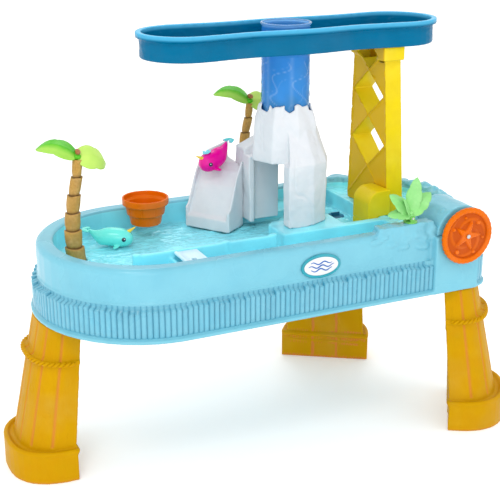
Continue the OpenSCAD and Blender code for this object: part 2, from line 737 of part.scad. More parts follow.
// Toy whale body: a lathe-turned drop with two flippers and a tail fluke, nose towards +X
module whale(len, r) {
    rotate([0, 90, 0]) rotate_extrude() polygon(concat([[0, -len * 0.55]],
        [for (i = [1:13]) let (t = i / 14, a = 180 * pow(1 - t, 0.62))
            [r * pow(sin(a), 0.75), len * (t * 0.97 - 0.55)]],
        [[0, len * 0.42]]));
    translate([-len * 0.47, 0, -2]) rotate([0, 12, 0]) linear_extrude(4)
        polygon([[14, -4], [14, 4], [0, 4], [-12, 16], [-5, 0], [-12, -16], [0, -4]]);
    for (s = [-1, 1]) translate([len * 0.13, s * r * 0.78, -r * 0.5]) rotate([0, 0, s * 118])
        linear_extrude(4) polygon([[-5, -7], [-5, 7], [13, 5], [15, -3]]);
}

module horn(len, r, t) {
    translate([len * 0.3, 0, r * 0.66]) rotate([0, 48, 0]) cylinder(r1 = 4, r2 = 1, h = t);
}

module eyes(len, r) {
    for (s = [-1, 1]) translate([len * 0.25, s * r * 0.76, r * 0.12]) sphere(r = 4, $fn = 24);
}

module at_teal() {
    translate([teal_at[0], teal_at[1], floor_z + 24]) rotate(-25) rotate([0, 6, 0]) children();
}

module at_pink() {
    translate([pink_at[0], pink_at[1], 588]) rotate(192) rotate([0, 16, 0]) children();
}

module teal_body() color([0.3, 0.85, 0.8]) placed() difference() {
    at_teal() whale(104, 21);
    at_teal() horn(104, 21, 20);
    at_teal() eyes(104, 21);
}

module teal_horn() color([0.98, 0.75, 0.2]) placed() at_teal() horn(104, 21, 19.8);
module teal_eyes() color([0.1, 0.1, 0.3]) placed() at_teal() eyes(104, 21);

module pink_body() color([0.92, 0.15, 0.6]) placed() difference() {
    at_pink() whale(90, 22);
    at_pink() horn(90, 22, 20);
    at_pink() eyes(90, 22);
    at_pink() translate([14, 0, 15]) cylinder(r = 3.9, h = 12);
}

module pink_horn() color([0.98, 0.85, 0.3]) placed() at_pink() horn(90, 22, 19.8);
module pink_eyes() color([0.1, 0.1, 0.15]) placed() at_pink() eyes(90, 22);
module pink_crown() color([0.5, 0.85, 0.9]) placed() at_pink() translate([14, 0, 15]) {
    cylinder(r = 3.9, h = 9);
    translate([0, 0, 8]) linear_extrude(4)
        polygon([for (i = [0:35]) (8 + 2.5 * cos(50 * i)) * [cos(10 * i), sin(10 * i)]]);
}

basin();
drain_plug();
river_gate();
gate_pins();
badge();
left_leg();
front_leg();
rear_leg();
leg_screws();
wheel_cover();
cover_screws();
wave_wheel();
wheel_axle();
wheel_screw();
paddle_wheel();
axle_clip();
tower();
slide();
tower_screws();
waterfall_tube();
rain_tray();
lattice_column();
spout_hood();
column_screws();
leaf_flinger();
flinger_base();
flinger_pin();
front_palm_trunk();
front_palm_leaves();
front_palm_coconuts();
rear_palm_trunk();
rear_palm_leaves();
rear_palm_coconuts();
bucket();
teal_body();
teal_horn();
teal_eyes();
pink_body();
pink_horn();
pink_eyes();
pink_crown();
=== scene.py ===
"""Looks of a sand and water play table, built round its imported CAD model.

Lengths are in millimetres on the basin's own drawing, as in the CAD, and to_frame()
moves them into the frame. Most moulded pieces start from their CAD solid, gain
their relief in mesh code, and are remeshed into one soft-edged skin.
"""
import math

import bmesh
import bpy
import numpy as np
from mathutils import Matrix, Vector

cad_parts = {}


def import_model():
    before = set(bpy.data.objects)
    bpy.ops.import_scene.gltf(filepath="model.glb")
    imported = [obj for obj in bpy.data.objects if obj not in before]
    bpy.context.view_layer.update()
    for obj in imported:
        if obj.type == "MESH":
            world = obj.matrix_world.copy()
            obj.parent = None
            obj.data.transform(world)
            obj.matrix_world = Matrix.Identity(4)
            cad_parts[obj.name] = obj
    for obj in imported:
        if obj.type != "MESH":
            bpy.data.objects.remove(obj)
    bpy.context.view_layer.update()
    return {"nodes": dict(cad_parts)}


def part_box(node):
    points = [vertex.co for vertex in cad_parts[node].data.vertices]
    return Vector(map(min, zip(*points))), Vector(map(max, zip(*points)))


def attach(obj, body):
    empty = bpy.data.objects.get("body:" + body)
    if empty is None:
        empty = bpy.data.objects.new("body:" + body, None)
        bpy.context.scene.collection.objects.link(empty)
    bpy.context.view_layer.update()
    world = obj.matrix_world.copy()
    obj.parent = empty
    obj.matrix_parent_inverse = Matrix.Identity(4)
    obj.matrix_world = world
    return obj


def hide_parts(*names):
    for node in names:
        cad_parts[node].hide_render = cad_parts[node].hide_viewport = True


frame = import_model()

NODES = frame["nodes"]
MM = 0.001

# ---- The drawing's place in the frame ----

TUBE_C = np.array([141.0, 47.0])            # centre of the waterfall tube on the drawing


def middle(node):
    """Centre of a node's box, in frame millimetres."""
    low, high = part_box(node)
    return (np.array(low) + np.array(high)) / 2 / MM


def heights(node):
    """Lowest and highest point of a node, in millimetres above the floor."""
    low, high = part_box(node)
    return low.z / MM, high.z / MM


SHIFT = np.append(middle("waterfall_tube")[:2] - TUBE_C, 0)


def centre(node):
    """Centre of a node's box on the drawing."""
    return middle(node) - SHIFT


# Sizes of the basin, wheel and tray, as in the CAD
END_R, CORNER_R = 229.0, 40.0
LEFT_C, RIGHT_C, CORNER_C = np.array([-208.0, 10.0]), np.array([312.0, 10.0]), np.array([468.0, -179.0])
RIM_Z, FLOOR_Z, DOCK_Z, SKIRT_Z, SKIRT_STEP_Z = 486.0, 432.0, 468.0, 336.0, 415.0
RIM_W = 37.0
WHEEL_X, AXLE_Z = 434.0, 467.0
TRAY_Z = 900.0


def arc(c, r, a0, a1, n):
    a = np.radians(np.linspace(a0, a1, n + 1))
    return np.c_[c[0] + r * np.cos(a), c[1] + r * np.sin(a)]


def outline(d, fine=1):
    """Basin outline, moved outwards by d."""
    v = CORNER_C - RIGHT_C
    side = math.degrees(math.atan2(v[1], v[0]) + math.acos((END_R - CORNER_R) / np.hypot(*v)))
    return np.vstack([arc(LEFT_C, END_R + d, 90, 270, 24 * fine),
                      arc(CORNER_C, max(CORNER_R + d, 1), 270, 360 + side, 5 * fine),
                      arc(RIGHT_C, END_R + d, side, 90, 14 * fine)])


def resample(path, n, closed=True):
    """n points evenly spaced along a path."""
    p = np.vstack([path, path[:1]]) if closed else np.asarray(path, float)
    s = np.r_[0, np.cumsum(np.linalg.norm(np.diff(p, axis=0), axis=1))]
    t = np.linspace(0, s[-1], n + 1)[:-1] if closed else np.linspace(0, s[-1], n)
    return np.c_[tuple(np.interp(t, s, p[:, k]) for k in range(p.shape[1]))], s[-1]


def to_frame(v):
    """Drawing millimetres to frame metres."""
    return (np.array(v, float) + SHIFT) * MM


def to_plan(v):
    return np.array(v, float) / MM - SHIFT


# ---- Noise ----

STIR = (374761393, 668265263, 2147483647, 1274126177)      # large odd factors that scatter whole numbers
LOW_32, LOW_16 = 0xFFFFFFFF, 0xFFFF


def scatter(i, j, k, seed):
    """A repeatable number from 0 to 1 for each whole-number place."""
    n = (i * STIR[0] + j * STIR[1] + k * STIR[2] + seed * STIR[3]) & LOW_32
    n = ((n ^ (n >> 13)) * STIR[3]) & LOW_32
    return ((n ^ (n >> 16)) & LOW_16) / LOW_16


def noise(v, size, seed=0):
    """Smooth value noise from -1 to 1 over points v, with lumps of the given size."""
    q = np.asarray(v, float) / size
    c = np.floor(q).astype(np.int64)
    f = q - c
    f = f * f * (3 - 2 * f)
    total = np.zeros(len(q))
    for i in (0, 1):
        for j in (0, 1):
            for k in (0, 1):
                w = np.abs(1 - i - f[:, 0]) * np.abs(1 - j - f[:, 1]) * np.abs(1 - k - f[:, 2])
                total += w * scatter(c[:, 0] + i, c[:, 1] + j, c[:, 2] + k, seed)
    return total * 2 - 1


def cells(v, size, seed=0):
    """Faceted rock noise from 0 to 1: the distance to the nearest scattered point."""
    q = np.asarray(v, float) / size
    c = np.floor(q).astype(np.int64)
    best = np.full(len(q), 9.0)
    for i in (-1, 0, 1):
        for j in (-1, 0, 1):
            for k in (-1, 0, 1):
                n = c + [i, j, k]
                p = n + np.c_[tuple(scatter(n[:, 0], n[:, 1], n[:, 2], seed + s) for s in (1, 2, 3))]
                best = np.minimum(best, np.linalg.norm(q - p, axis=1))
    return best


def step(x, a, b):
    """Smooth rise from 0 at a to 1 at b."""
    t = np.clip((x - a) / (b - a), 0, 1)
    return t * t * (3 - 2 * t)


def bump(x, at, width):
    """Smooth hill of height 1."""
    return np.exp(-((x - at) / width) ** 2)


def around(v, at):
    """Distance of each point from an upright axis."""
    return np.hypot(*(v[:, :2] - at).T)


# ---- Meshes ----

def add(name, data):
    """Puts a new object into the scene."""
    ob = bpy.data.objects.new(name, data)
    bpy.context.scene.collection.objects.link(ob)
    return ob


def make(name, verts, faces):
    """A mesh object from points in drawing millimetres."""
    me = bpy.data.meshes.new(name)
    me.from_pydata(to_frame(verts).tolist(), [], [list(map(int, f)) for f in faces])
    me.update()
    return add(name, me)


def from_bmesh(name, bm):
    me = bpy.data.meshes.new(name)
    bm.to_mesh(me)
    bm.free()
    return add(name, me)


def grid_faces(rows, cols, wrap, wrap_rows=False):
    """Quads between rows of points; wrap closes each row, wrap_rows joins the last row to the first."""
    r, c = np.meshgrid(np.arange(rows - (not wrap_rows)), np.arange(cols - (not wrap)), indexing="ij")
    up, side = (r + 1) % rows, (c + 1) % cols
    return np.stack([r * cols + c, r * cols + side, up * cols + side, up * cols + c], -1).reshape(-1, 4)


def loft(name, rings):
    """Skin through rings of the same number of points, closed at both ends."""
    rings = np.asarray(rings, float)
    n, m = rings.shape[:2]
    ends = [list(range(m))[::-1], list(range((n - 1) * m, n * m))]
    return make(name, rings.reshape(-1, 3), grid_faces(n, m, True).tolist() + ends)


def tube(name, path, radius, sides=10, closed=False):
    """Round rod along a path; radius is a number or one per point."""
    p = np.asarray(path, float)
    n = len(p)
    r = np.broadcast_to(np.asarray(radius, float), (n,))
    t = np.roll(p, -1, 0) - np.roll(p, 1, 0) if closed else np.gradient(p, axis=0)
    t /= np.linalg.norm(t, axis=1, keepdims=True) + 1e-12
    up = np.array([0.0, 0.0, 1.0]) if abs(t[0, 2]) < 0.9 else np.array([1.0, 0.0, 0.0])
    side = np.cross(t[0], up)
    a = np.linspace(0, 2 * np.pi, sides, endpoint=False)[:, None]
    rings = []
    for i in range(n):
        side = side - t[i] * (side @ t[i])
        side /= np.linalg.norm(side)
        other = np.cross(t[i], side)
        rings.append(p[i] + r[i] * (np.cos(a) * side + np.sin(a) * other))
    if closed:
        return make(name, np.array(rings).reshape(-1, 3), grid_faces(n, sides, True, True))
    return loft(name, rings)


def ball(name, at, radii, turn=None, n=20):
    """Ellipsoid, with an optional 3 by 3 turn."""
    a = np.linspace(0, 2 * np.pi, 2 * n, endpoint=False)
    rings = []
    for t in np.linspace(0.06, np.pi - 0.06, n):
        ring = np.c_[np.sin(t) * np.cos(a) * radii[0], np.sin(t) * np.sin(a) * radii[1],
                     np.full(len(a), -np.cos(t) * radii[2])]
        rings.append((ring @ turn.T if turn is not None else ring) + at)
    return loft(name, rings)


def revolve(name, profile, at, n, relief):
    """Lathe-turned skin about an upright axis; profile is a closed loop of (r, z), and relief adds to r."""
    a = np.linspace(0, 2 * np.pi, n, endpoint=False)
    p = np.asarray(profile, float)
    r, z = np.repeat(p[:, :1], n, 1), np.repeat(p[:, 1:], n, 1)
    aa = np.repeat(a[None], len(p), 0)
    r = r + relief(aa, r, z)
    rings = np.stack([at[0] + r * np.cos(aa), at[1] + r * np.sin(aa), z], -1)
    return make(name, rings.reshape(-1, 3), grid_faces(len(p), n, True, True))


def copy_node(node, name):
    """A free copy of a CAD node to build on."""
    ob = add(name, NODES[node].data.copy())
    ob.data.materials.clear()
    return ob


def join(name, obs):
    """One object from several; their skins may overlap."""
    bm = bmesh.new()
    for o in obs:
        bm.from_mesh(o.data)
        bpy.data.objects.remove(o)
    return from_bmesh(name, bm)


def bake(ob):
    """Applies the object's modifiers."""
    bpy.context.view_layer.update()
    dg = bpy.context.evaluated_depsgraph_get()
    me = bpy.data.meshes.new_from_object(ob.evaluated_get(dg))
    ob.modifiers.clear()
    ob.data = me
    return ob


def remesh(ob, voxel, smooth):
    """One closed skin with soft edges."""
    m = ob.modifiers.new("skin", "REMESH")
    m.mode, m.voxel_size = "VOXEL", voxel * MM
    s = ob.modifiers.new("soft", "SMOOTH")
    s.factor, s.iterations = 0.5, smooth
    return bake(ob)


SAME_POINT = 1e-5                           # metres
FLAT_ANGLE, EDGE_ANGLE = math.radians(2), math.radians(32)


def bevel(ob, width):
    """Rounds the CAD edges of a hard, thin-walled moulding."""
    w = ob.modifiers.new("weld", "WELD")
    w.merge_threshold = SAME_POINT
    d = ob.modifiers.new("flat", "DECIMATE")
    d.decimate_type, d.angle_limit = "DISSOLVE", FLAT_ANGLE
    b = ob.modifiers.new("edge", "BEVEL")
    b.width, b.segments, b.limit_method = width * MM, 3, "ANGLE"
    b.angle_limit, b.use_clamp_overlap = EDGE_ANGLE, True
    t = ob.modifiers.new("tri", "TRIANGULATE")
    t.min_vertices = 5
    return bake(ob)


def per_vertex(ob, what):
    values = np.zeros(len(ob.data.vertices) * 3, np.float32)
    ob.data.vertices.foreach_get(what, values)
    return values.reshape(-1, 3).astype(float)


def points(ob):
    return to_plan(per_vertex(ob, "co"))


def normals(ob):
    return per_vertex(ob, "normal")


def put(ob, v):
    ob.data.vertices.foreach_set("co", to_frame(v).astype(np.float32).ravel())
    ob.data.update()


def push(ob, amount):
    """Moves each point along its normal by amount(points, normals), in millimetres."""
    v, n = points(ob), normals(ob)
    put(ob, v + n * amount(v, n)[:, None])
    return ob


def shade(ob, amount):
    """Writes the attribute that carries a material over to its shade colour."""
    a = ob.data.attributes.new("shade", "FLOAT", "POINT")
    a.data.foreach_set("value", np.clip(amount, 0, 1).astype(np.float32))


def done(ob, slot, body="table", node=None, paint=None, flat_angle=None):
    """Shades, paints and attaches a piece."""
    ob.data.materials.clear()
    ob.data.materials.append(PAINT[paint or slot])
    ob.data.polygons.foreach_set("use_smooth", [True] * len(ob.data.polygons))
    if flat_angle:
        ob.data.set_sharp_from_angle(angle=math.radians(flat_angle))
    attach(ob, body)
    if node:
        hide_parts(node)


# ---- Materials ----

PAINT = {}
PLASTIC_IOR, GLOW_DEPTH = 1.48, 0.006


def plastic(name, color, rough=0.35, vary=0.08, grain=0.0015, bump_by=0.12, glow=0.0, coat=0.0,
            tint=None, blotch=0.06, metal=0.0, shade=None, gloss=0.3):
    """Moulded plastic: uneven colour, fine grain, and gloss that changes over the surface.
    Puts the material into PAINT and returns its shader.

    grain and blotch are sizes in metres, and glow is how much light passes under the skin.
    Where a mesh has a "shade" attribute, the colour goes over to the shade colour by that much."""
    m = bpy.data.materials.new(name)
    m.use_nodes = True
    t = m.node_tree
    t.nodes.clear()
    new, link = t.nodes.new, t.links.new
    out, b = new("ShaderNodeOutputMaterial"), new("ShaderNodeBsdfPrincipled")
    link(b.outputs[0], out.inputs[0])
    where = new("ShaderNodeTexCoord")

    def wave(scale, detail, fine=0.5):
        n = new("ShaderNodeTexNoise")
        for key, value in (("Scale", scale), ("Detail", detail), ("Roughness", fine)):
            n.inputs[key].default_value = value
        link(where.outputs["Object"], n.inputs["Vector"])
        return n.outputs["Fac"]

    def ramp(src, low, high):
        r = new("ShaderNodeMapRange")
        for key, value in (("From Min", 0.3), ("From Max", 0.7), ("To Min", low), ("To Max", high)):
            r.inputs[key].default_value = value
        link(src, r.inputs["Value"])
        return r.outputs["Result"]

    tone = new("ShaderNodeHueSaturation")
    tone.inputs["Color"].default_value = (*color, 1)
    link(ramp(wave(1 / blotch, 4), 1 - vary, 1 + vary), tone.inputs["Value"])
    link(ramp(wave(0.6 / blotch, 2), 1 - vary / 2, 1 + vary / 2), tone.inputs["Saturation"])

    def blend(src, other, factor):
        mix = new("ShaderNodeMix")
        mix.data_type = "RGBA"
        mix.inputs["B"].default_value = (*other, 1)
        link(src, mix.inputs["A"])
        link(factor, mix.inputs["Factor"])
        return mix.outputs["Result"]

    def dents(strength, depth, height):
        n = new("ShaderNodeBump")
        n.inputs["Strength"].default_value, n.inputs["Distance"].default_value = strength, depth
        link(height, n.inputs["Height"])
        return n

    body = tone.outputs["Color"]
    if tint:
        body = blend(body, tint, ramp(wave(2.6 / blotch, 5), 0.0, 0.7))
    if shade:
        mask = new("ShaderNodeAttribute")
        mask.attribute_name = "shade"
        body = blend(body, shade, mask.outputs["Fac"])
    link(body, b.inputs["Base Color"])
    link(ramp(wave(9, 3), rough - 0.05, rough + 0.07), b.inputs["Roughness"])
    fine = dents(bump_by, 0.0006, wave(1 / grain, 2, 0.6))
    soft = dents(0.10, 0.003, wave(28, 2))
    link(fine.outputs[0], soft.inputs["Normal"])
    link(soft.outputs[0], b.inputs["Normal"])
    for key, value in (("Metallic", metal), ("IOR", PLASTIC_IOR), ("Specular IOR Level", gloss),
                       ("Coat Weight", coat), ("Coat Roughness", 0.12), ("Subsurface Weight", glow),
                       ("Subsurface Radius", (GLOW_DEPTH, GLOW_DEPTH, GLOW_DEPTH))):
        b.inputs[key].default_value = value
    PAINT[name] = m
    return b


# its shade colour is the painted light in the pool
plastic("aqua_plastic", (0.16, 0.465, 0.585), 0.25, 0.05, coat=0.1, glow=0.03,
        tint=(0.185, 0.51, 0.62), blotch=0.12, shade=(0.27, 0.86, 0.98))
# its shade colour is the painted shade in the grooves between the slats
plastic("aqua_slats", (0.13, 0.42, 0.55), 0.28, 0.07, coat=0.1, gloss=0.4,
        tint=(0.17, 0.48, 0.60), blotch=0.05, shade=(0.035, 0.24, 0.37))
plastic("navy_plastic", (0.008, 0.12, 0.24), 0.3)
# painted highlight: the river gate is light blue plastic, painted pale as it looks where it faces the sky
plastic("frost_plastic", (0.60, 0.82, 0.92), 0.35)
plastic("badge_plastic", (0.02, 0.12, 0.42), 0.22, coat=0.5)
plastic("badge_ring", (0.01, 0.30, 0.38), 0.25, coat=0.5)
plastic("badge_white", (0.74, 0.77, 0.80), 0.25, coat=0.5)
# its shade colour is the painted shade on the legs
plastic("ochre_plastic", (0.53, 0.285, 0.0), 0.42, 0.07, 0.0012, 0.25, gloss=0.05,
        tint=(0.53, 0.26, 0.0), blotch=0.07, shade=(0.62, 0.21, 0.04))
# its shade colour is the painted shade on the wave wheel's face
plastic("orange_plastic", (0.71, 0.140, 0.0), 0.30, 0.07, glow=0.02, gloss=0.12, shade=(0.42, 0.055, 0.0))
plastic("axle_plastic", (0.04, 0.04, 0.045), 0.4)
# its shade colour is the painted shade inside the tower
plastic("white_plastic", (0.68, 0.695, 0.72), 0.42, 0.02, 0.0022, 0.22, glow=0.05,
        tint=(0.64, 0.665, 0.70), blotch=0.05, shade=(0.50, 0.64, 0.72))
# its shade colour is the painted light on the tray
plastic("blue_plastic", (0.0, 0.130, 0.262), 0.24, 0.06, gloss=0.06, shade=(0.10, 0.50, 0.78))
# its shade colour is the painted shade on the column
plastic("yellow_plastic", (0.76, 0.585, 0.012), 0.38, 0.05, gloss=0.14,
        tint=(0.71, 0.52, 0.006), shade=(0.68, 0.37, 0.002))
plastic("leaf_light", (0.30, 0.68, 0.24), 0.42, 0.08, tint=(0.24, 0.62, 0.20), blotch=0.02,
        gloss=0.2, shade=(0.20, 0.56, 0.16))
plastic("leaf_dark", (0.16, 0.50, 0.10), 0.42, 0.10, blotch=0.02)
# its shade colour is the painted shade in the trunk's creases
plastic("trunk_brown", (0.48, 0.285, 0.08), 0.5, 0.12, 0.0011, 0.4, gloss=0.15,
        tint=(0.38, 0.21, 0.05), blotch=0.016, shade=(0.07, 0.03, 0.006))
plastic("palm_green", (0.06, 0.42, 0.012), 0.36, 0.10, tint=(0.13, 0.52, 0.02), blotch=0.02,
        gloss=0.2, shade=(0.52, 0.74, 0.14))
plastic("coconut_brown", (0.36, 0.14, 0.05), 0.45, 0.15, blotch=0.006)
plastic("teal_plastic", (0.15, 0.74, 0.66), 0.22, 0.06, coat=0.3, glow=0.05)
plastic("pink_plastic", (0.80, 0.006, 0.30), 0.22, 0.06, coat=0.1, glow=0.02, gloss=0.14,
        shade=(0.12, 0.62, 0.66))
plastic("horn_yellow", (0.90, 0.60, 0.04), 0.28)
plastic("eye_dark", (0.012, 0.012, 0.03), 0.12, coat=0.8)
plastic("crown_teal", (0.22, 0.66, 0.76), 0.28)
plastic("steel", (0.55, 0.56, 0.58), 0.3, metal=1.0, gloss=0.5)
# transparent: light passes, and the swirls in the wall bend it; its shade colour is the paler tone of the
# tube's painted highlight and upright bands
clear = plastic("clear_blue", (0.07, 0.42, 0.86), 0.07, 0.05, 0.004, 0.1, shade=(0.55, 0.80, 1.0))
clear.inputs["Transmission Weight"].default_value = 0.6
clear.inputs["IOR"].default_value = 1.25


# ---- Basin ----

FINE = 1.0
ROLL_OUT, ROLL_IN = 13.0, 7.0               # rounds of the rim's outer and inner edges
ROCKS_X, STREAM_X = 225, 350                # where the rocky end starts, and where the front corner does
SLAT_FOOT_Z, SLAT_PITCH, SLAT_BACK = 344.3, 11.5, 9.0
RIM_ROCKS, RIM_ROCKS_FROM, RIM_ROCKS_TO = 13, -18, 96
CORNER_ROCKS = [(368, -212, 477), (363, -180, 476), (366, -148, 474), (372, -120, 470),
                (352, -198, 480), (286, -204, 486), (262, -205, 484), (244, -208, 481)]
FACE_ROCKS = [(304, -213, 470), (330, -215, 474), (352, -214, 466), (262, -215, 462), (290, -216, 452),
              (340, -216, 448), (222, -214, 474)]


def outward(path):
    """Outward direction at each point of a closed path."""
    t = np.roll(path, -1, 0) - np.roll(path, 1, 0)
    return np.c_[t[:, 1], -t[:, 0]] / np.linalg.norm(t, axis=1)[:, None]


def edge_distance(v):
    """How far each point is outside the basin's outline, and the outward direction."""
    p, _ = resample(outline(0, 3), 900)
    n = outward(p)
    d, out = np.empty(len(v)), np.empty((len(v), 2))
    batch = 20000                           # points at a time, to save memory
    for i in range(0, len(v), batch):
        q = v[i:i + batch, None, :2] - p[None]
        k = (q ** 2).sum(-1).argmin(1)
        out[i:i + batch] = n[k]
        d[i:i + batch] = (q[np.arange(len(k)), k] * n[k]).sum(-1)
    return d, out


def boulder(at, radii, seed):
    """A rounded rock with broken faces."""
    ob = ball("rock", np.array(at, float), radii, n=14)
    v = points(ob)
    out = v - at
    out /= np.linalg.norm(out, axis=1)[:, None]
    put(ob, v + out * (-5.5 * cells(v, 22, seed) + 2.9 + 0.8 * noise(v, 12, seed))[:, None])
    return ob


def shape_basin():
    parts = [copy_node("basin", "shell")]
    rng = np.random.default_rng(4)
    for i, a in enumerate(np.radians(np.linspace(RIM_ROCKS_FROM, RIM_ROCKS_TO, RIM_ROCKS))):
        r = END_R - 20 + rng.uniform(-3, 3)
        c = [RIGHT_C[0] + r * math.cos(a), RIGHT_C[1] + r * math.sin(a), RIM_Z - 5 + rng.uniform(-3, 4)]
        parts.append(boulder(c, (17 + rng.uniform(0, 5), 16 + rng.uniform(0, 4), 13 + rng.uniform(0, 5)), i))
    for i, c in enumerate(CORNER_ROCKS):
        parts.append(boulder(c, (17, 15, 15 if c[2] > 474 else 12), 40 + i))
    for i, c in enumerate(FACE_ROCKS):
        parts.append(boulder(c, (20, 9, 10), 60 + i))
    ob = remesh(join("basin_moulding", parts), 2.3 * FINE, 5)
    v, n = points(ob), normals(ob)
    d, out = edge_distance(v)
    # rolled rim: both corners are pulled in on to their rounds
    for edge, r, sign in ((0.0, ROLL_OUT, 1), (-RIM_W, ROLL_IN, -1)):
        e = (d - edge) * sign
        near = (e > -r) & (e < 2) & (v[:, 2] > RIM_Z - r) & (v[:, 2] < RIM_Z + 1.5)
        if sign > 0:
            near &= ~((v[:, 0] > ROCKS_X) & (v[:, 1] < 0))
        x, z = e + r, v[:, 2] - (RIM_Z - r)
        k = r / np.maximum(np.hypot(x, z), r)
        move = np.where(near, x * (k - 1), 0)
        v[:, :2] += (move * sign)[:, None] * out
        v[:, 2] += np.where(near, z * (k - 1), 0)
    # the shell steps in above the pickets
    band = (d > 8.5) & (d < 14) & (v[:, 2] > 345.5) & (v[:, 2] < SKIRT_STEP_Z + 3) & (n[:, 2] > -0.5)
    inwards = band * 3.2 * step(v[:, 2], 345.5, 349)
    v[:, :2] -= inwards[:, None] * out
    d = d - inwards
    step_in = (d > 0.5) & (v[:, 2] > 394) & (v[:, 2] < SKIRT_STEP_Z + 4) & (v[:, 0] < STREAM_X)
    v[:, :2] -= (np.where(step_in, (d - 1.5) * step(v[:, 2], 392, 400), 0))[:, None] * out
    # ripples in the pool floor, and rock faces on the dock and the right-hand rim
    floor = (np.abs(v[:, 2] - FLOOR_Z) < 3) & (n[:, 2] > 0.9)
    rip = noise(np.c_[v[:, 0] * 0.55 + v[:, 1] * 0.3, v[:, 1] * 1.5, v[:, 2] * 0], 15, 2)
    rip2 = noise(np.c_[v[:, 0], v[:, 1] * 2.0, v[:, 2] * 0], 9, 5)
    v[:, 2] += np.where(floor, 2.4 * (1 - np.abs(rip)) ** 3 + 1.2 * (1 - np.abs(rip2)) ** 4, 0)
    rocky = step(v[:, 0], 222, 250) * step(v[:, 2], 470, 480)
    rocky = rocky + 0.8 * step(v[:, 0], 330, 345) * step(v[:, 2], 455, 462)
    rocky = np.clip(rocky, 0, 1) * (1 - ((np.abs(v[:, 0] - WHEEL_X) < 62) & (v[:, 1] < -120)))
    flakes = 6.0 * (0.5 - cells(v, 25, 3)) + 1.6 * (0.5 - cells(v, 11, 9)) + 0.3 * noise(v, 7, 8)
    v += n * (rocky * flakes)[:, None]
    side = (np.abs(d) < 3) & (v[:, 2] > SKIRT_STEP_Z)
    v += n * np.where(side, 0.45 * noise(v, 24, 6), 0)[:, None]
    put(ob, v)
    # painted light: the pool and its walls are painted a brighter aqua, in soft patches
    pool = (d < -RIM_W + 4) & (v[:, 2] < RIM_Z - 6) & (v[:, 2] > FLOOR_Z - 3)
    shade(ob, pool * (0.78 + 0.25 * noise(v * [0.7, 1.4, 1], 26, 13)))
    done(ob, "aqua_plastic", node="basin")


def shape_pickets():
    """Band of upright slats round the skirt, each with its own broken top."""
    _, length = resample(outline(10.2, 4), 2)
    count = int(length / SLAT_PITCH)
    per = 10
    ring, _ = resample(outline(0, 6), count * per)
    out = outward(ring)
    i = np.arange(count * per)
    slat, across = i // per, (i % per) / per
    h = scatter(slat, slat * 0, slat * 0, 11)
    lift = noise(np.c_[ring, ring[:, 0] * 0], 60, 9)
    far = scatter(slat, slat * 0 + 3, slat * 0, 17)
    top = 400 + 7 * h + 2.5 * lift + 1.5 * np.sin(np.pi * across)
    round_ = np.abs(np.sin(np.pi * across)) ** 0.24
    rows = []
    for z0 in (SLAT_FOOT_Z, 346, 350, 358, 368, 378, 388, 396, 400, 402.5, 405, 407, 409, 411, 413):
        fade = step(top - z0, -1.5, 1.5)
        skin = SLAT_BACK + (3.2 + 1.0 * far) * round_ * fade * step(z0, 344, 350) - 7.4 * (1 - fade)
        skin = skin + 0.9 * bump(z0, top - 3, 2.5) * round_ * fade
        worn = 0.35 * noise(np.c_[ring, ring[:, 0] * 0 + z0], 7, 3) * fade
        rows.append(np.c_[ring + out * (skin + worn)[:, None], np.full(len(i), z0)])
    rows += [np.c_[ring + out * k, np.full(len(i), z)]
             for k, z in ((0.6, 413), (0.6, 380), (7.5, 379), (7.5, SLAT_FOOT_Z))]
    verts = np.array(rows)
    n, m = verts.shape[:2]
    ob = make("picket_band", verts.reshape(-1, 3), grid_faces(n, m, True, True))
    # painted shade: the grooves between the slats are darker, and each slat's tone also varies a little with
    # how far it stands out
    shade(ob, np.tile(1.3 * (1 - round_) + 0.12 * far, n))
    done(ob, "aqua_plastic", paint="aqua_slats")


def ellipse_ring(cx, z, a, b, y, n=72):
    t = np.linspace(0, 2 * np.pi, n, endpoint=False)
    return np.c_[cx + a * np.cos(t), np.full(n, y), z + b * np.sin(t)]


# Half width, half height and height above the back of each step
BADGE_PLATE = ((45, 25, 0), (46, 26, 1.2), (46, 26, 2.4), (45.2, 25.2, 3.3), (43.5, 23.6, 3.8), (41, 21, 3.5),
               (40, 20, 2.6), (20, 10, 2.6), (1, 0.5, 2.6))
BADGE_FACE = ((39.6, 19.6, 2.0), (39.6, 19.6, 3.0), (38.8, 18.8, 3.4), (20, 10, 3.5), (1, 0.5, 3.5))


def shape_badge():
    """Plain plaque: a ring, a white face and three waves."""
    c = centre("badge")
    y = c[1] + 1.8
    for name, steps, node, paint in (("badge_plate", BADGE_PLATE, "badge", "badge_ring"),
                                     ("badge_face", BADGE_FACE, None, "badge_white")):
        rings = [ellipse_ring(c[0], c[2], a, b, y - h) for a, b, h in steps]
        done(loft(name, rings), "badge_plastic", node=node, paint=paint)
    for k, dz in enumerate((7.5, 0, -7.5)):
        half = 30 - 5 * abs(k - 1)
        x = np.linspace(-half, half, 60)
        path = np.c_[c[0] + x, np.full(60, y - 3.4), c[2] + dz + 2.6 * np.sin(x / 4.2 + k)]
        done(tube(f"badge_wave_{k}", path, 1.3 * np.sqrt(1 - (x / (half + 1)) ** 2) + 0.2, 8),
             "badge_plastic", paint="badge_plastic")


# ---- Legs ----

LEGS = {"left_leg": ((-409, 10), 180), "front_leg": ((479, -160), -35), "rear_leg": ((348, 214), 57)}
FOOT_W, FOOT_D, PLINTH_H = 224.0, 126.0, 66.0
LEG_TOP_W, LEG_TOP_D, LEG_IN = 178.0, 72.0, 27.0
PLANK_JOINTS = (-62, -36, -12, 12, 36, 62)                   # degrees round the shaft
KNOTS = ((-40, 120), (24, 196), (-20, 300), (52, 150))       # degrees round the shaft, height
ROPE_Z, ROPE_R, ROPE_TWIST, ROPE_PITCH = 261.0, 3.3, 2.7, 22


def up_leg(z):
    """Share of the way from the plinth to the skirt."""
    return np.clip((z - PLINTH_H) / (SKIRT_Z - PLINTH_H), 0, 1)


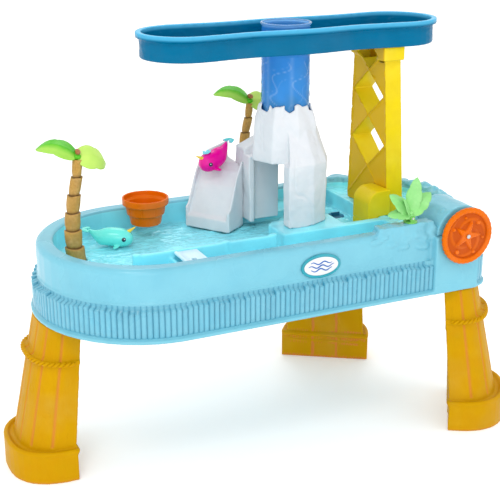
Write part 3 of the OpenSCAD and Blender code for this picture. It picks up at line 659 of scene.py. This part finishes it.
def nose(w, d, n=60):
    """Foot section: flat inner face on u = 0, rounded nose at u = d."""
    t = np.radians(np.linspace(-90, 90, n))
    return np.c_[d * np.clip(np.cos(t), 0, 1) ** 0.8, w / 2 * np.sign(t) * np.abs(np.sin(t)) ** 0.8]


def leg_frame(name):
    (x, y), a = LEGS[name]
    a = math.radians(a)
    return np.array([[math.cos(a), -math.sin(a)], [math.sin(a), math.cos(a)]]), np.array([x, y], float)


def shape_leg(name):
    turn, at = leg_frame(name)

    def world(p):
        p = np.array(p, float)
        p[:, :2] = p[:, :2] @ turn.T + at
        return p

    def section(z):
        """Width, depth and setback of the shaft at a height."""
        k = up_leg(z)
        return (FOOT_W - 26) * (1 - k) + LEG_TOP_W * k, (FOOT_D - 22) * (1 - k) + LEG_TOP_D * k, -LEG_IN * k

    parts = [copy_node(name, "shell")]
    # rounded lip over the plinth
    lip = resample(nose(FOOT_W - 10, FOOT_D - 6, 80), 120)[0]
    parts.append(tube("lip", world(np.c_[lip, np.full(len(lip), PLINTH_H)]), 6.4, 12, closed=True))
    # ribs on the flat inner face
    for v in (-36, 36):
        z = np.linspace(8, SKIRT_Z - 14, 12)
        k = up_leg(z)
        parts.append(tube("rib", world(np.c_[-LEG_IN * k + 0.4, v * (1 - 0.2 * k), z]), 2.6, 8))
    for z in (48, 150, 240):
        w, _, u = section(z)
        parts.append(tube("rib", world(np.c_[np.full(2, u + 0.4), [-w * 0.46, w * 0.46], [z, z]]), 2.4, 8))
    ob = remesh(join(name + "_moulding", parts), 2.0 * FINE, 4)
    v, n = points(ob), normals(ob)
    q = v.copy()
    q[:, :2] = (v[:, :2] - at) @ turn
    w, d, u = section(v[:, 2])
    a = np.degrees(np.arctan2(q[:, 1] / (w / 2), (q[:, 0] - u) / d))
    outer = ((n[:, :2] @ turn) * np.c_[q[:, 0] - u, q[:, 1]]).sum(1) > 0
    shaft = step(v[:, 2], PLINTH_H + 8, PLINTH_H + 12) * (q[:, 0] > u + 3) * outer
    groove = sum(bump(a, c, 1.7) for c in PLANK_JOINTS)
    grain = 0.25 * noise(np.c_[a * 1.4, v[:, 2] * 0.1, a * 0], 2.4, 7) + 0.35 * noise(v, 15, 3)
    v += n * (shaft * (-2.6 * groove + grain) + (1 - shaft) * 0.3 * noise(v, 20, 5))[:, None]
    v[:, 2] = np.maximum(v[:, 2], 0)
    # knots in the planks, each a ring pressed in
    for ca, cz in KNOTS:
        r = np.hypot((a - ca) * 1.3, v[:, 2] - cz)
        v += n * (shaft * (-0.9 * bump(r, 6, 1.5) - 0.7 * bump(r, 0, 2.5)))[:, None]
    put(ob, v)
    # painted shade: the flat inner face, the plank joints and the lowest edge of the foot are darker and
    # redder, and the ribs are left out of it, so they stay bright
    inner = (np.abs(q[:, 0] - u) < 6) & ~outer & (v[:, 2] < SKIRT_Z)
    rib = (q[:, 0] - u < -1.2) & inner
    shade(ob, np.where(inner, 0.9 - 0.9 * rib, 0) + shaft * 0.75 * np.clip(groove, 0, 1)
          + 0.25 * (v[:, 2] < 6))
    done(ob, "ochre_plastic", node=name)
    # rope band of two twisted strands
    w, d, u = section(ROPE_Z)
    path = nose(w + 7, d + 8.5, 90)[2:-2]
    path = resample(path, 420, closed=False)[0]
    t = np.gradient(path, axis=0)
    t /= np.linalg.norm(t, axis=1)[:, None]
    side = np.c_[t[:, 1], -t[:, 0]]
    s = np.r_[0, np.cumsum(np.linalg.norm(np.diff(path, axis=0), axis=1))]
    for k in range(2):
        ph = 2 * np.pi * s / ROPE_PITCH + math.pi * k
        off = side * ROPE_TWIST * np.cos(ph)[:, None]
        p = np.c_[path[:, 0] + u + off[:, 0], path[:, 1] + off[:, 1], ROPE_Z + ROPE_TWIST * np.sin(ph)]
        r = np.full(len(p), ROPE_R)
        r[:6], r[-6:] = np.linspace(0.8, ROPE_R, 6), np.linspace(ROPE_R, 0.8, 6)
        done(tube(f"{name}_rope_{k}", world(p), r, 10), "ochre_plastic")


# ---- Wave wheel ----

WHEEL_EDGE_R, CORDS = 57.5, 17              # radius of the round edge's centre, and half its cord turns
BUBBLES = ((27, 27, 6), (-35, 18, 5), (18, -38, 5), (-24, -34, 6), (-6, 41, 4), (41, -8, 4))


def star_height(r, a):
    """Relief of a plain five-armed star, bubbles and swirls, from 0 to 1."""
    arm = np.abs(((a / (2 * np.pi / 5)) % 1) - 0.5) * 2
    reach = 16 + 22 * arm ** 2.2
    star = step(reach - r, 0, 7) * (0.75 + 0.25 * bump(arm, 1, 0.25))
    dots = 0.25 * np.cos(r * 1.1) * bump(arm, 1, 0.18) * (r > 6) * (r < reach - 5)
    x, y = r * np.cos(a), r * np.sin(a)
    bubbles = sum(0.7 * step(br - np.hypot(x - bx, y - by), 0, 2.5) for bx, by, br in BUBBLES)
    swirl = 0.22 * np.clip(np.sin(a * 3 + r * 0.28), 0, 1) * step(r, 20, 30) * step(50 - r, 0, 4)
    return np.clip(star + dots, 0, 1.1) + bubbles * (star < 0.3) + swirl * (star < 0.3)


def shape_wheel():
    low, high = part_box("wave_wheel")
    y0, y1 = to_plan(np.array([low, high]))[:, 1]
    n = 320
    a = np.linspace(0, 2 * np.pi, n, endpoint=False)
    thick = y1 - y0
    rings = []

    def cord(turn):
        """Dips between the twisted cord's strands, from 0 to 1."""
        return 1 - np.abs(np.cos(CORDS * a + turn)) ** 0.6

    def ring(r, depth, relief=0.0):
        r = np.broadcast_to(r, a.shape)
        rings.append(np.c_[WHEEL_X + r * np.cos(a), y0 + np.broadcast_to(depth, a.shape) - relief,
                           AXLE_Z + r * np.sin(a)])

    ring(6.2, thick)
    ring(40, thick)
    ring(57, thick)
    for t in np.linspace(-0.5, 0.5, 14):
        ang = math.pi * t
        ring(WHEEL_EDGE_R + (6.2 - 1.7 * cord(1.6 * t)) * math.cos(ang),
             thick / 2 - thick / 2 * math.sin(ang) * 0.98)
    for t in np.linspace(0.05, 1, 8):
        ang = math.pi / 2 * t
        ring(WHEEL_EDGE_R - 6.5 * math.sin(ang), 0.2 + 1.6 * cord(0.8 + 1.6 * t) + 6.0 * (1 - math.cos(ang)))
    for r in np.r_[np.linspace(50.4, 5, 90), 3, 1.2, 0.3]:
        ring(r, 7.4, 6.4 * star_height(np.full(n, r), a))
    ob = loft("wave_wheel_disc", rings)
    # painted shade: the sunken ground of the face, round the raised star, is darker
    p = np.concatenate(rings)
    inside = np.hypot(p[:, 0] - WHEEL_X, p[:, 2] - AXLE_Z) < 52
    shade(ob, 0.75 * np.clip((p[:, 1] - y0 - 4.4) / 3.0, 0, 1) * inside)
    done(ob, "orange_plastic", "wheel", "wave_wheel")


def shape_cover():
    ob = remesh(copy_node("wheel_cover", "cover"), 2.0 * FINE, 8)

    def relief(v, n):
        top = step(v[:, 2], AXLE_Z + 8, AXLE_Z + 20) * (n[:, 2] > -0.2)
        dimples = sum(bump(around(v, (x, y)), 6, 1.6) for x, y in ((389, -154), (396, -205)))
        return top * (0.9 * (0.5 - cells(v, 24, 5)) + 0.6 * noise(v, 30, 2) - 0.9 * dimples)

    done(push(ob, relief), "aqua_plastic", node="wheel_cover")


# ---- Tower, slide, tube, tray, column ----

def hull(name, verts):
    """Convex skin round a few points."""
    bm = bmesh.new()
    for p in to_frame(np.array(verts, float)):
        bm.verts.new(p)
    inner = bmesh.ops.convex_hull(bm, input=bm.verts)["geom_interior"]
    bmesh.ops.delete(bm, geom=[g for g in inner if isinstance(g, bmesh.types.BMVert)], context="VERTS")
    bmesh.ops.recalc_face_normals(bm, faces=bm.faces)
    return from_bmesh(name, bm)


PIER_TOP = [(106, -48), (165, -48), (206, -27.5), (226, 10), (226, 33)]     # the front pier's outer edge
NOTCHED_Z = 700                                                            # the crag's broken edge starts here


def shape_tower():
    # slopes that carry the crag out on to the wider front pier
    parts = [copy_node("tower", "crag")]
    for (x0, y0), (x1, y1) in zip(PIER_TOP, PIER_TOP[1:]):
        foot = [(x, y, z) for x, y in ((x0, y0), (x1, y1)) for z in (598, 608)]
        back = []
        for x, y in ((x0, y0), (x1, y1)):
            away = np.array([x, y]) - TUBE_C
            away /= np.linalg.norm(away)
            back += [(*(TUBE_C + away * r), z) for r, z in ((66, 608), (66, 676), (70, 676))]
        parts.append(hull("slope", foot + back))
    ob = remesh(join("rock_tower", parts), 1.9 * FINE, 5)

    def relief(v, n):
        outside = ((v[:, :2] - TUBE_C) * n[:, :2]).sum(1) > -5
        faces = 3.4 * (0.55 - cells(v * [1, 1, 0.62], 44, 7)) + 1.5 * (0.5 - cells(v, 21, 12))
        crack = -1.3 * sum(bump(np.abs(noise(v * [1, 1, 0.35], s, 20 + s)), 0, 0.035) for s in (48, 33))
        return outside * (faces + 0.25 * noise(v, 6, 3) + crack * step(noise(v, 60, 31), 0.0, 0.3))

    push(ob, relief)
    v = points(ob)
    a = np.arctan2(v[:, 1] - TUBE_C[1], v[:, 0] - TUBE_C[0])
    ring = np.c_[np.cos(a), np.sin(a), a * 0] * 50
    notch = 7 * noise(ring, 17, 15) + 4 * noise(ring, 7, 16)
    v[:, 2] += (notch - 3) * step(v[:, 2], NOTCHED_Z, NOTCHED_Z + 32)
    put(ob, v)
    # painted shade: inside the tower, under the tube, the white goes over to a darker blue-grey
    shade(ob, 0.6 * step(45 - around(v, TUBE_C), -14, 8) * (v[:, 2] < 612))
    done(ob, "white_plastic", node="tower")


def shape_slide():
    ob = remesh(copy_node("slide", "chute"), 1.9 * FINE, 8)

    def relief(v, n):
        walls = step(0.85 - n[:, 2], 0, 0.2)
        return walls * (1.9 * (0.5 - cells(v * [1, 1, 0.7], 36, 4)) + 0.2 * noise(v, 6, 3)) \
            + (1 - walls) * 0.25 * noise(v * [0.4, 1, 1], 9, 2)

    done(push(ob, relief), "white_plastic", node="slide")


TUBE_R, BORE_R = 53, 50.5
FLANGE = [(TUBE_R, 836.5), (58.6, 838), (59, 840), (58.6, 845.2), (TUBE_R, 845.6)]
TRAY_UNDER_Z = 835                          # below the flange the tube stands free


def shape_tube():
    z0, z1 = heights("waterfall_tube")
    n = 220
    outer = [(TUBE_R, z) for z in np.linspace(z0 + 1.5, 834, 60)]
    top = [(TUBE_R, z) for z in np.linspace(848, z1 - 6, 14)]
    lip = [(54.2, z1 - 5), (55.4, z1 - 3), (55.2, z1 - 0.8), (53.5, z1), (51.5, z1), (BORE_R, z1 - 1)]
    inner = [(BORE_R, z) for z in np.linspace(z1 - 4, z0 + 2, 30)]
    foot = [(51, z0 + 0.3), (52.4, z0 + 0.3)]

    def swirl(a, r, z):
        on = (np.abs(r - TUBE_R) < 0.05) * step(z, 660, 690) * step(832 - z, 0, 12)
        bend = a + 0.5 * np.sin(z / 23) + 0.25 * np.sin(z / 9 + 2 * a)
        steep = np.clip(1 - np.abs(np.sin(bend * 3 + z / 60)) * 4, 0, 1)
        flat = np.clip(1 - np.abs(np.sin(bend * 2 - z / 21)) * 5, 0, 1)
        return on * 1.1 * np.maximum(steep, 0.6 * flat)

    ob = revolve("waterfall_tube_wall", outer + FLANGE + top + lip + inner + foot, TUBE_C, n, swirl)
    v = points(ob)
    # the raised lines and the lip are paler, a painted highlight, and six upright bands are paler as well
    free = v[:, 2] < TRAY_UNDER_Z
    a = np.degrees(np.arctan2(v[:, 1] - TUBE_C[1], v[:, 0] - TUBE_C[0]))
    upright = bump((a + 12) % 60 - 30, 0, 5)
    shade(ob, 0.45 * step(around(v, TUBE_C), TUBE_R + 0.2, TUBE_R + 1.2) * free + 0.5 * (v[:, 2] > z1 - 7)
          + 0.22 * upright * free)
    done(ob, "clear_blue", node="waterfall_tube")


def shape_tray():
    ob = remesh(copy_node("rain_tray", "tray"), 2.2 * FINE, 5)

    def relief(v, n):
        side = (np.abs(n[:, 2]) < 0.5) * step(TRAY_Z - 10 - v[:, 2], 0, 6)
        flow = noise(np.c_[v[:, 0] * 0.35, v[:, 1] * 0.35, v[:, 2] * 1.3 + 7 * np.sin(v[:, 0] / 60)], 9, 4)
        return side * 0.9 * (1 - np.abs(flow)) ** 3 + 0.25 * noise(v, 40, 2)

    push(ob, relief)
    v, up = points(ob), normals(ob)[:, 2]
    # painted light: the rim is lighter, most where it faces up, and so are the upward faces of the floor
    # inside
    rim = step(v[:, 2], TRAY_Z - 10, TRAY_Z - 5) * (0.6 + 0.35 * up)
    shade(ob, rim + 0.2 * (up > 0.8) * (v[:, 2] < TRAY_Z - 30))
    done(ob, "blue_plastic", node="rain_tray")


CROSSINGS = (564, 683, 787)                                  # heights where the lattice bars cross
POST_LOW = np.array([[359, -42], [401, -42], [401, 116], [345, 116]], float)
POST_HIGH = np.array([[349, -25], [389, -25], [389, 99], [343, 99]], float)
POST_Y, POST_TOP_Z, BAR_R, PANEL_SINK = 37.0, 812, 2.6, 1.6


def shape_column():
    z0, z1 = heights("lattice_column")

    def spot(side, s, z):
        """Point on the column's face: side 0 looks to -X, side 1 to +X, and s runs from -1 to 1 across."""
        k = np.clip((z - z0) / (z1 - 30 - z0), 0, 1)
        p = POST_LOW * (1 - k) + POST_HIGH * k
        a, b = (p[0], p[3]) if side == 0 else (p[1], p[2])
        mid = (POST_Y - a[1]) / (b[1] - a[1])
        t = mid + (mid - 0.02) * s if s < 0 else mid + (0.98 - mid) * s
        q = a + (b - a) * t
        return (q[0] + (0.6 if side == 0 else -0.6), q[1], z)

    parts = [copy_node("lattice_column", "post")]
    for side in (0, 1):
        for za, zb in zip(CROSSINGS, CROSSINGS[1:]):
            for s in (-1, 1):
                for z in (za, zb):
                    parts.append(tube("bar", [spot(side, 0, z), spot(side, s, (za + zb) / 2)], BAR_R, 8))
        for s in (-1, 1):
            parts.append(tube("bar", [spot(side, 0, CROSSINGS[0]), spot(side, s, 482)], BAR_R, 8))
            parts.append(tube("bar", [spot(side, 0, CROSSINGS[-1]), spot(side, s, 834)], BAR_R, 8))
            parts.append(tube("bar", [spot(side, s, 478), spot(side, s, POST_TOP_Z)], 2.4, 8))
    ob = remesh(join("column_moulding", parts), 1.9 * FINE, 3)
    v, n = points(ob), normals(ob)
    # the panels between the bars sink a little
    k = np.clip((v[:, 2] - z0) / (z1 - 30 - z0), 0, 1)
    left = 359 - 10 * k - (14 - 8 * k) * (v[:, 1] + 42 - 17 * k) / (158 - 34 * k)
    panel = (np.abs(v[:, 0] - left) < 1.4) & (n[:, 0] < -0.7) & (v[:, 2] < POST_TOP_Z)
    v[:, 0] += panel * PANEL_SINK
    put(ob, v)
    # painted shade: the faces that look to -X are darker and more orange
    shade(ob, 0.8 * step(-n[:, 0], 0.3, 0.8))
    done(ob, "yellow_plastic", node="lattice_column")


def shape_hood():
    ob = remesh(copy_node("spout_hood", "hood"), 1.6 * FINE, 9)
    push(ob, lambda v, n: 0.35 * noise(v, 14, 3) - 1.0 * bump(v[:, 2], 455, 1.2) * (n[:, 2] < 0.4))
    done(ob, "yellow_plastic", node="spout_hood")


# ---- Leaves and trees ----

def spin(degrees, axis):
    return Matrix.Rotation(math.radians(degrees), 3, axis)


LEAF_ROWS, LEAF_COLS = 34, 13


def leaf(name, base, heading, roll, rise, length, width, droop, teeth, thick=2.4):
    """A blade on an arc: heading, roll about its rib and rise in degrees, droop the arc's radius."""
    rows, cols = LEAF_ROWS, LEAF_COLS
    t = np.linspace(0, 1, rows)
    length = droop * math.asin(min(length / droop, 0.995))
    ang = -length * t / droop * (0.8 + 0.5 * t)
    s = length / (rows - 1)
    x = np.r_[0, np.cumsum(np.cos(ang[:-1]) * s)]
    z = np.r_[0, np.cumsum(np.sin(ang[:-1]) * s)]
    w = width / 2 * np.sin(np.pi * np.clip(t * 0.97 + 0.03, 0, 1) ** 0.75) ** 0.6 + 1.2 * (1 - t)
    w = w * (1.04 - 0.16 * (1 - np.abs(np.sin(np.pi * teeth * t)) ** 0.5) * step(t, 0.1, 0.25))
    e = np.linspace(-1, 1, cols)
    wid, across = np.meshgrid(w, e, indexing="ij")
    side = wid * across
    # folded along a raised rib, with small veins that run out to the edge
    vein = np.abs(np.sin(t[:, None] * 30 + np.abs(across) * 3)) * np.abs(across)
    sag = 0.22 * np.abs(side) - 0.55 * (1 - np.abs(across)) ** 8 - 0.5 * vein
    nx, nz = -np.sin(ang)[:, None], np.cos(ang)[:, None]
    turn = np.array(spin(heading, "Z") @ spin(-rise, "Y") @ spin(roll, "X"))

    def skin(off):
        px = x[:, None] + nx * (off - sag)
        pz = z[:, None] + nz * (off - sag)
        return np.stack([px, side, pz - thick / 2], -1) @ turn.T + base

    edge = 1 - 0.75 * np.abs(across) ** 3
    upper, lower = skin(thick / 2 * edge), skin(-thick / 2 * edge)
    nu = rows * cols
    f = grid_faces(rows, cols, False)
    faces = f.tolist() + (f[:, ::-1] + nu).tolist()
    rim = [i * cols for i in range(rows)] + [(rows - 1) * cols + j for j in range(1, cols)] \
        + [i * cols + cols - 1 for i in range(rows - 2, -1, -1)] + list(range(cols - 2, 0, -1))
    for a, b in zip(rim, rim[1:] + rim[:1]):
        faces.append([b, a, a + nu, b + nu])
    ob = make(name, np.vstack([upper.reshape(-1, 3), lower.reshape(-1, 3)]), faces)
    bm = bmesh.new()
    bm.from_mesh(ob.data)
    bmesh.ops.recalc_face_normals(bm, faces=bm.faces)
    bm.to_mesh(ob.data)
    bm.free()
    return ob


TRUNK_H, TRUNK_RINGS, PEG_R = 224.0, 6, 12.8
CROWN_X = 11.0                              # how far the crown stands beyond the trunk's foot
NUTS = ((1, -5, 16.2, 5.6), (3, 6, 15.7, 5.0))
# Heading, roll, rise, length, width and droop
FRONDS = [(178, -38, 46, 66.5, 50, 67), (-12, 46, 2, 64, 54, 66), (140, -10, 44, 56, 40, 64)]


def sway(t):
    """How far a trunk's middle strays sideways at a share t of its height."""
    return -36 * t + 55 * t * t


def shape_palm(side, at, foot_r, height):
    z0 = heights(f"{side}_palm_trunk")[0]
    at = np.array(at, float)
    rings, depth = [], []
    n = 40
    a = np.linspace(0, 2 * np.pi, n, endpoint=False)
    if z0 < at[2] - 1:
        for z in (z0, at[2] - 0.5):
            rings.append(np.c_[at[0] + PEG_R * np.cos(a), at[1] + PEG_R * np.sin(a), np.full(n, z)])
            depth.append(np.zeros(n))
    for k in range(TRUNK_RINGS):
        ra, rb = foot_r * (1 - 0.1 * k) * 0.90, foot_r * (0.985 - 0.1 * k)
        for t in np.linspace(0, 1, 11):
            z = height * (k + t) / TRUNK_RINGS
            r = ra + (rb - ra) * t + 1.2 * math.sin(math.pi * t) - 2.0 * bump(t, 0, 0.07) + 0.5 * t ** 6
            bend = sway(z / height)
            if k == TRUNK_RINGS - 1:
                last = sway(1 - 1 / TRUNK_RINGS)
                bend = last + 0.3 * (bend - last)
            rough = 0.6 * noise(np.c_[np.cos(a) * 14, np.sin(a) * 14, np.full(n, z * 0.4)], 4, 5)
            dip = 1.2 * np.sin(3 * a + k) * t ** 3
            rings.append(np.c_[at[0] + bend + (r + rough) * np.cos(a), at[1] + (r + rough) * np.sin(a),
                               at[2] + z - dip])
            depth.append(0.95 * bump(t, 0, 0.09) + 0.3 * np.clip(-rough, 0, 1))
    stem = loft(f"{side}_palm_stem", rings)
    # painted shade: the creases between the trunk's rings and the hollows of its bark are darker
    shade(stem, np.concatenate(depth))
    done(stem, "trunk_brown", node=f"{side}_palm_trunk")
    hub = at + [CROWN_X, 0, height + 8.3]
    blades = []
    for i, f in enumerate(FRONDS):
        blade = leaf("blade", hub, *f, teeth=2)
        # the frond that faces the light is pale, and the others are pale along one half
        half = np.tile(np.linspace(-1, 1, LEAF_COLS), len(points(blade)) // LEAF_COLS)
        pale = 0.9 if i == 1 else np.clip(half * 2, 0, 1) * 0.55
        shade(blade, pale + 0.08 * noise(points(blade), 14, 3))
        blades.append(blade)
    blades.append(ball("blade", hub - [0, 0, 2.5], (8.6, 8.6, 6.5)))
    done(join(f"{side}_palm_crown", blades), "palm_green", node=f"{side}_palm_leaves")
    nuts = []
    for x, y, z, r in NUTS:
        nut = ball("nut", at + [CROWN_X + x, y, height + 0.3 + z], (r, r, r * 0.95), n=16)
        nuts.append(push(nut, lambda v, n_: 0.35 * noise(v, 3, 4)))
    done(join(f"{side}_palm_nuts", nuts), "coconut_brown", node=f"{side}_palm_coconuts")


# Heading, roll, rise, length and width
LEAVES = [(0, 66, 76, 76, 34), (4, 42, 42, 70, 36), (180, -58, 52, 62, 36), (188, -36, 14, 56, 28),
          (210, -60, 66, 42, 32)]


def shape_flinger():
    c = centre("flinger_pin")
    blades = []
    for i, f in enumerate(LEAVES):
        blade = leaf("blade", c + [0, 0, 9], *f, 130, teeth=3, thick=3)
        shade(blade, 0.15 * i + 0.3 * noise(points(blade), 12, i))
        blades.append(blade)
    hub = tube("blade", [c - [0, 6, 0], c + [0, 6, 0]], 6.6, 24)
    blades += [hub, tube("blade", [c, c + [0, 0, 10]], 5, 20), ball("blade", c + [0, 0, 10], (7, 6, 5))]
    done(join("leaf_flinger_blades", blades), "leaf_light", "flinger", "leaf_flinger")
    done(remesh(copy_node("flinger_base", "base"), 0.8, 2), "leaf_dark", node="flinger_base")


# ---- Bucket and toys ----

COURSE_H, COURSES_TOP, BLOCK = 23, 45, 40   # height of a course, top of the last, and degrees to a block
PAIL_R = 52


def shape_bucket():
    ob = remesh(copy_node("bucket", "pail"), 1.4 * FINE, 4)
    c, z0 = centre("bucket"), heights("bucket")[0]
    c[1] = to_plan(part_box("bucket")[0])[1] + PAIL_R        # the handle makes its box longer at the back

    def relief(v, n):
        a = np.degrees(np.arctan2(v[:, 1] - c[1], v[:, 0] - c[0]))
        out = (n[:, :2] * (v[:, :2] - c[:2])).sum(1) > 0
        z = v[:, 2] - z0
        course = np.floor(z / COURSE_H)
        joint = bump((a + course * BLOCK / 2) % BLOCK - BLOCK / 2, 0, 1.3)
        joint *= (np.abs(n[:, 2]) < 0.5) * (z < COURSES_TOP)
        return out * (-0.9 * joint + 0.35 * noise(v, 8, 3))

    done(push(ob, relief), "orange_plastic", "pail", "bucket")


WHALE_SIDES, WHALE_RINGS = 44, 46


def shape_whale(name, at, turn_z, pitch, length, r, skin, sink, crown=False):
    """Floating toy on the body of its own name: sink lowers its tail by that share of its length."""
    m, o = np.array(spin(turn_z, "Z") @ spin(pitch, "Y")), np.array(at, float)
    tone, body = name.split("_")[0], name

    def world(p):
        return np.asarray(p, float) @ m.T + o

    def lobe(place, radii, turn=None, n=16):
        return ball("part", world([place])[0], radii, m if turn is None else m @ np.array(turn), n)

    # body: rings of an egg section along a spine whose tail lifts
    rings = []
    a = np.linspace(0, 2 * np.pi, WHALE_SIDES, endpoint=False)
    for t in np.linspace(0.004, 0.998, WHALE_RINGS):
        x = length * (-0.55 + 0.97 * t)
        rad = r * max(math.sin(math.pi * (1 - t) ** 0.62), 0) ** 0.75 * (1 + 0.22 * bump(t, 0.3, 0.17)) + 0.4
        lift = 24 * max(0.28 - t, 0) ** 1.5 * r / 4 - sink * length * max(0.5 - t, 0)
        y, z = rad * np.cos(a), rad * np.sin(a) * (0.98 + 0.04 * np.sin(a)) + lift
        smile = -0.9 * bump(z + 0.32 * r - 0.10 * (x - 0.1 * length), 0, 0.9)
        smile *= 0.16 * length < x < 0.40 * length
        rings.append(world(np.c_[np.full(WHALE_SIDES, x), y * (1 + smile / max(rad, 4)), z]))
    pieces = [loft("part", rings)]
    tail = np.array([-0.52 * length, 0, 24 * 0.25 ** 1.5 * r / 4 - 0.46 * sink * length])
    # tail fluke and flippers, each a soft lobe
    for s in (-1, 1):
        pieces.append(lobe(tail + [-7, s * 8, 1], (12, 6.2, 2.8), spin(s * 42, "Z"), 14))
        pieces.append(lobe([0.10 * length, s * r * 0.86, -r * 0.66], (12, 6, 2.8),
                           spin(s * 122, "Z") @ spin(18, "Y"), 14))
    ob = remesh(join(name + "_skin", pieces), 1.3, 5)
    along = ((points(ob) - o) @ m)[:, 0] / length
    shade(ob, step(-0.50 - along, -0.03, 0.03))
    done(ob, skin, body, tone + "_body")
    # horn: a tapering spiral
    t = np.linspace(0, 1, 70)
    a = t * 2 * np.pi * 4.5
    axis = np.array([math.sin(math.radians(48)), 0, math.cos(math.radians(48))])
    start = np.array([0.30 * length, 0, r * 0.72])
    core = start + axis * (t * 20)[:, None]
    wide = 3.6 * (1 - t) + 0.7
    horn = [tube("part", world(core), wide, 16)]
    u, w = np.array([axis[2], 0, -axis[0]]), np.array([0.0, 1.0, 0.0])
    coil = core + (np.cos(a)[:, None] * u + np.sin(a)[:, None] * w) * (wide * 0.86)[:, None]
    horn.append(tube("part", world(coil), 0.9 * (1 - t) + 0.35, 8))
    done(join(name + "_spiral", horn), "horn_yellow", body, tone + "_horn")
    eyes, glints = [], []
    for s in (-1, 1):
        e = np.array([0.235 * length, s * r * 0.86, r * 0.12])
        eyes.append(ball("part", world([e])[0], (4.9, 4.9, 4.9), n=16))
        glints.append(ball("part", world([e + [2.0, s * 3.9, 2.3]])[0], (1.3, 1.3, 1.3), n=8))
    done(join(name + "_eyeballs", eyes), "eye_dark", body, tone + "_eyes")
    done(join(name + "_glints", glints), "eye_dark", body, paint="badge_white")
    if not crown:
        return
    petals = []
    c = np.array([0.14 * length, 0, r + 1.6])
    for i in range(5):
        b = 2 * math.pi * i / 5
        petals.append(lobe(c + [6.2 * math.cos(b), 6.2 * math.sin(b), 1.2], (5.4, 3.9, 1.7),
                           Matrix.Rotation(b, 3, "Z") @ spin(-22, "Y"), 12))
    petals.append(lobe(c + [0, 0, 0.8], (3.4, 3.4, 2.6), n=12))
    done(join(name + "_flower", petals), "crown_teal", body, tone + "_crown")


# ---- Small parts that keep their CAD shape, with eased edges ----

def eased(node, slot, body, width):
    done(bevel(copy_node(node, node + "_part"), width), slot, body, node, flat_angle=50)


shape_basin()
shape_pickets()
shape_badge()
for leg_name in LEGS:
    shape_leg(leg_name)
shape_wheel()
shape_cover()
shape_tower()
shape_slide()
shape_tube()
shape_tray()
shape_column()
shape_hood()
shape_palm("front", (-351, 33, FLOOR_Z), 20, TRUNK_H)
shape_palm("rear", (124, 221, RIM_Z), 16, TRUNK_H - 16)
shape_flinger()
shape_bucket()
shape_whale("teal_toy", (-250, 97, FLOOR_Z + 24), -25, 6, 104, 21, "teal_plastic", 0.11)
shape_whale("pink_toy", (11, 148, 588), 192, 16, 90, 22, "pink_plastic", -0.2, crown=True)
for piece, slot, on, width in (
        ("drain_plug", "navy_plastic", "plug", 0.8), ("river_gate", "frost_plastic", "gate", 0.9),
        ("paddle_wheel", "orange_plastic", "wheel", 0.6), ("wheel_axle", "axle_plastic", "wheel", 0.4)):
    eased(piece, slot, on, width)
for piece in ("gate_pins", "leg_screws", "cover_screws", "tower_screws", "column_screws", "flinger_pin"):
    eased(piece, "steel", "table", 0.3)
for piece in ("wheel_screw", "axle_clip"):
    eased(piece, "steel", "wheel", 0.3)

# ---- Floor, light and camera ----

REACH, DROP = 30000, -0.6                   # how far the floor goes, and how far below the feet
floor = make("floor", [(REACH * x, REACH * y, DROP) for x, y in ((-1, -1), (1, -1), (1, 1), (-1, 1))],
             [(0, 1, 2, 3)])
pale = plastic("pale_floor", (0.96, 0.96, 0.96), 0.8, 0.005, 0.01, 0.02).inputs
pale["Emission Color"].default_value, pale["Emission Strength"].default_value = (1, 1, 1, 1), 0.2
floor.data.materials.append(PAINT["pale_floor"])

CAMERA_AT = (-940.4, -2086.6, 1231.0)
HEADING, PITCH, LENS = 25.02, 19.52, 79.2

cam = bpy.data.cameras.new("camera")
cam.lens, cam.sensor_width, cam.clip_end = LENS, 36.0, 50.0
cam_ob = add("camera", cam)
cam_ob.location = Vector(to_frame(np.array(CAMERA_AT)))
cam_ob.rotation_euler = (math.radians(90 - PITCH), 0, -math.radians(HEADING))
bpy.context.scene.camera = cam_ob


LOOK_AT = (0, 0, 0.4)                       # metres
# Place in metres, watts and width in metres
for lamp, place, power, size in (("key", (-1.5, -1.8, 3.4), 23, 0.9), ("front", (-1.3, -2.9, 1.5), 16, 1.4),
                                 ("fill", (2.4, -2.0, 1.4), 6, 2.2), ("back", (0.9, 1.9, 3.2), 20, 1.4),
                                 ("left", (-3.0, 0.4, 1.8), 4, 1.6)):
    light = bpy.data.lights.new(lamp, "AREA")
    light.energy, light.size = power, size
    ob = add(lamp, light)
    ob.location = place
    ob.rotation_euler = (Vector(LOOK_AT) - Vector(place)).to_track_quat("-Z", "Y").to_euler()

world = bpy.data.worlds.new("studio")
world.use_nodes = True
sky = world.node_tree.nodes["Background"].inputs
sky["Color"].default_value, sky["Strength"].default_value = (1, 1, 1, 1), 1.03
bpy.context.scene.world = world
bpy.context.scene.view_settings.view_transform = "Standard"
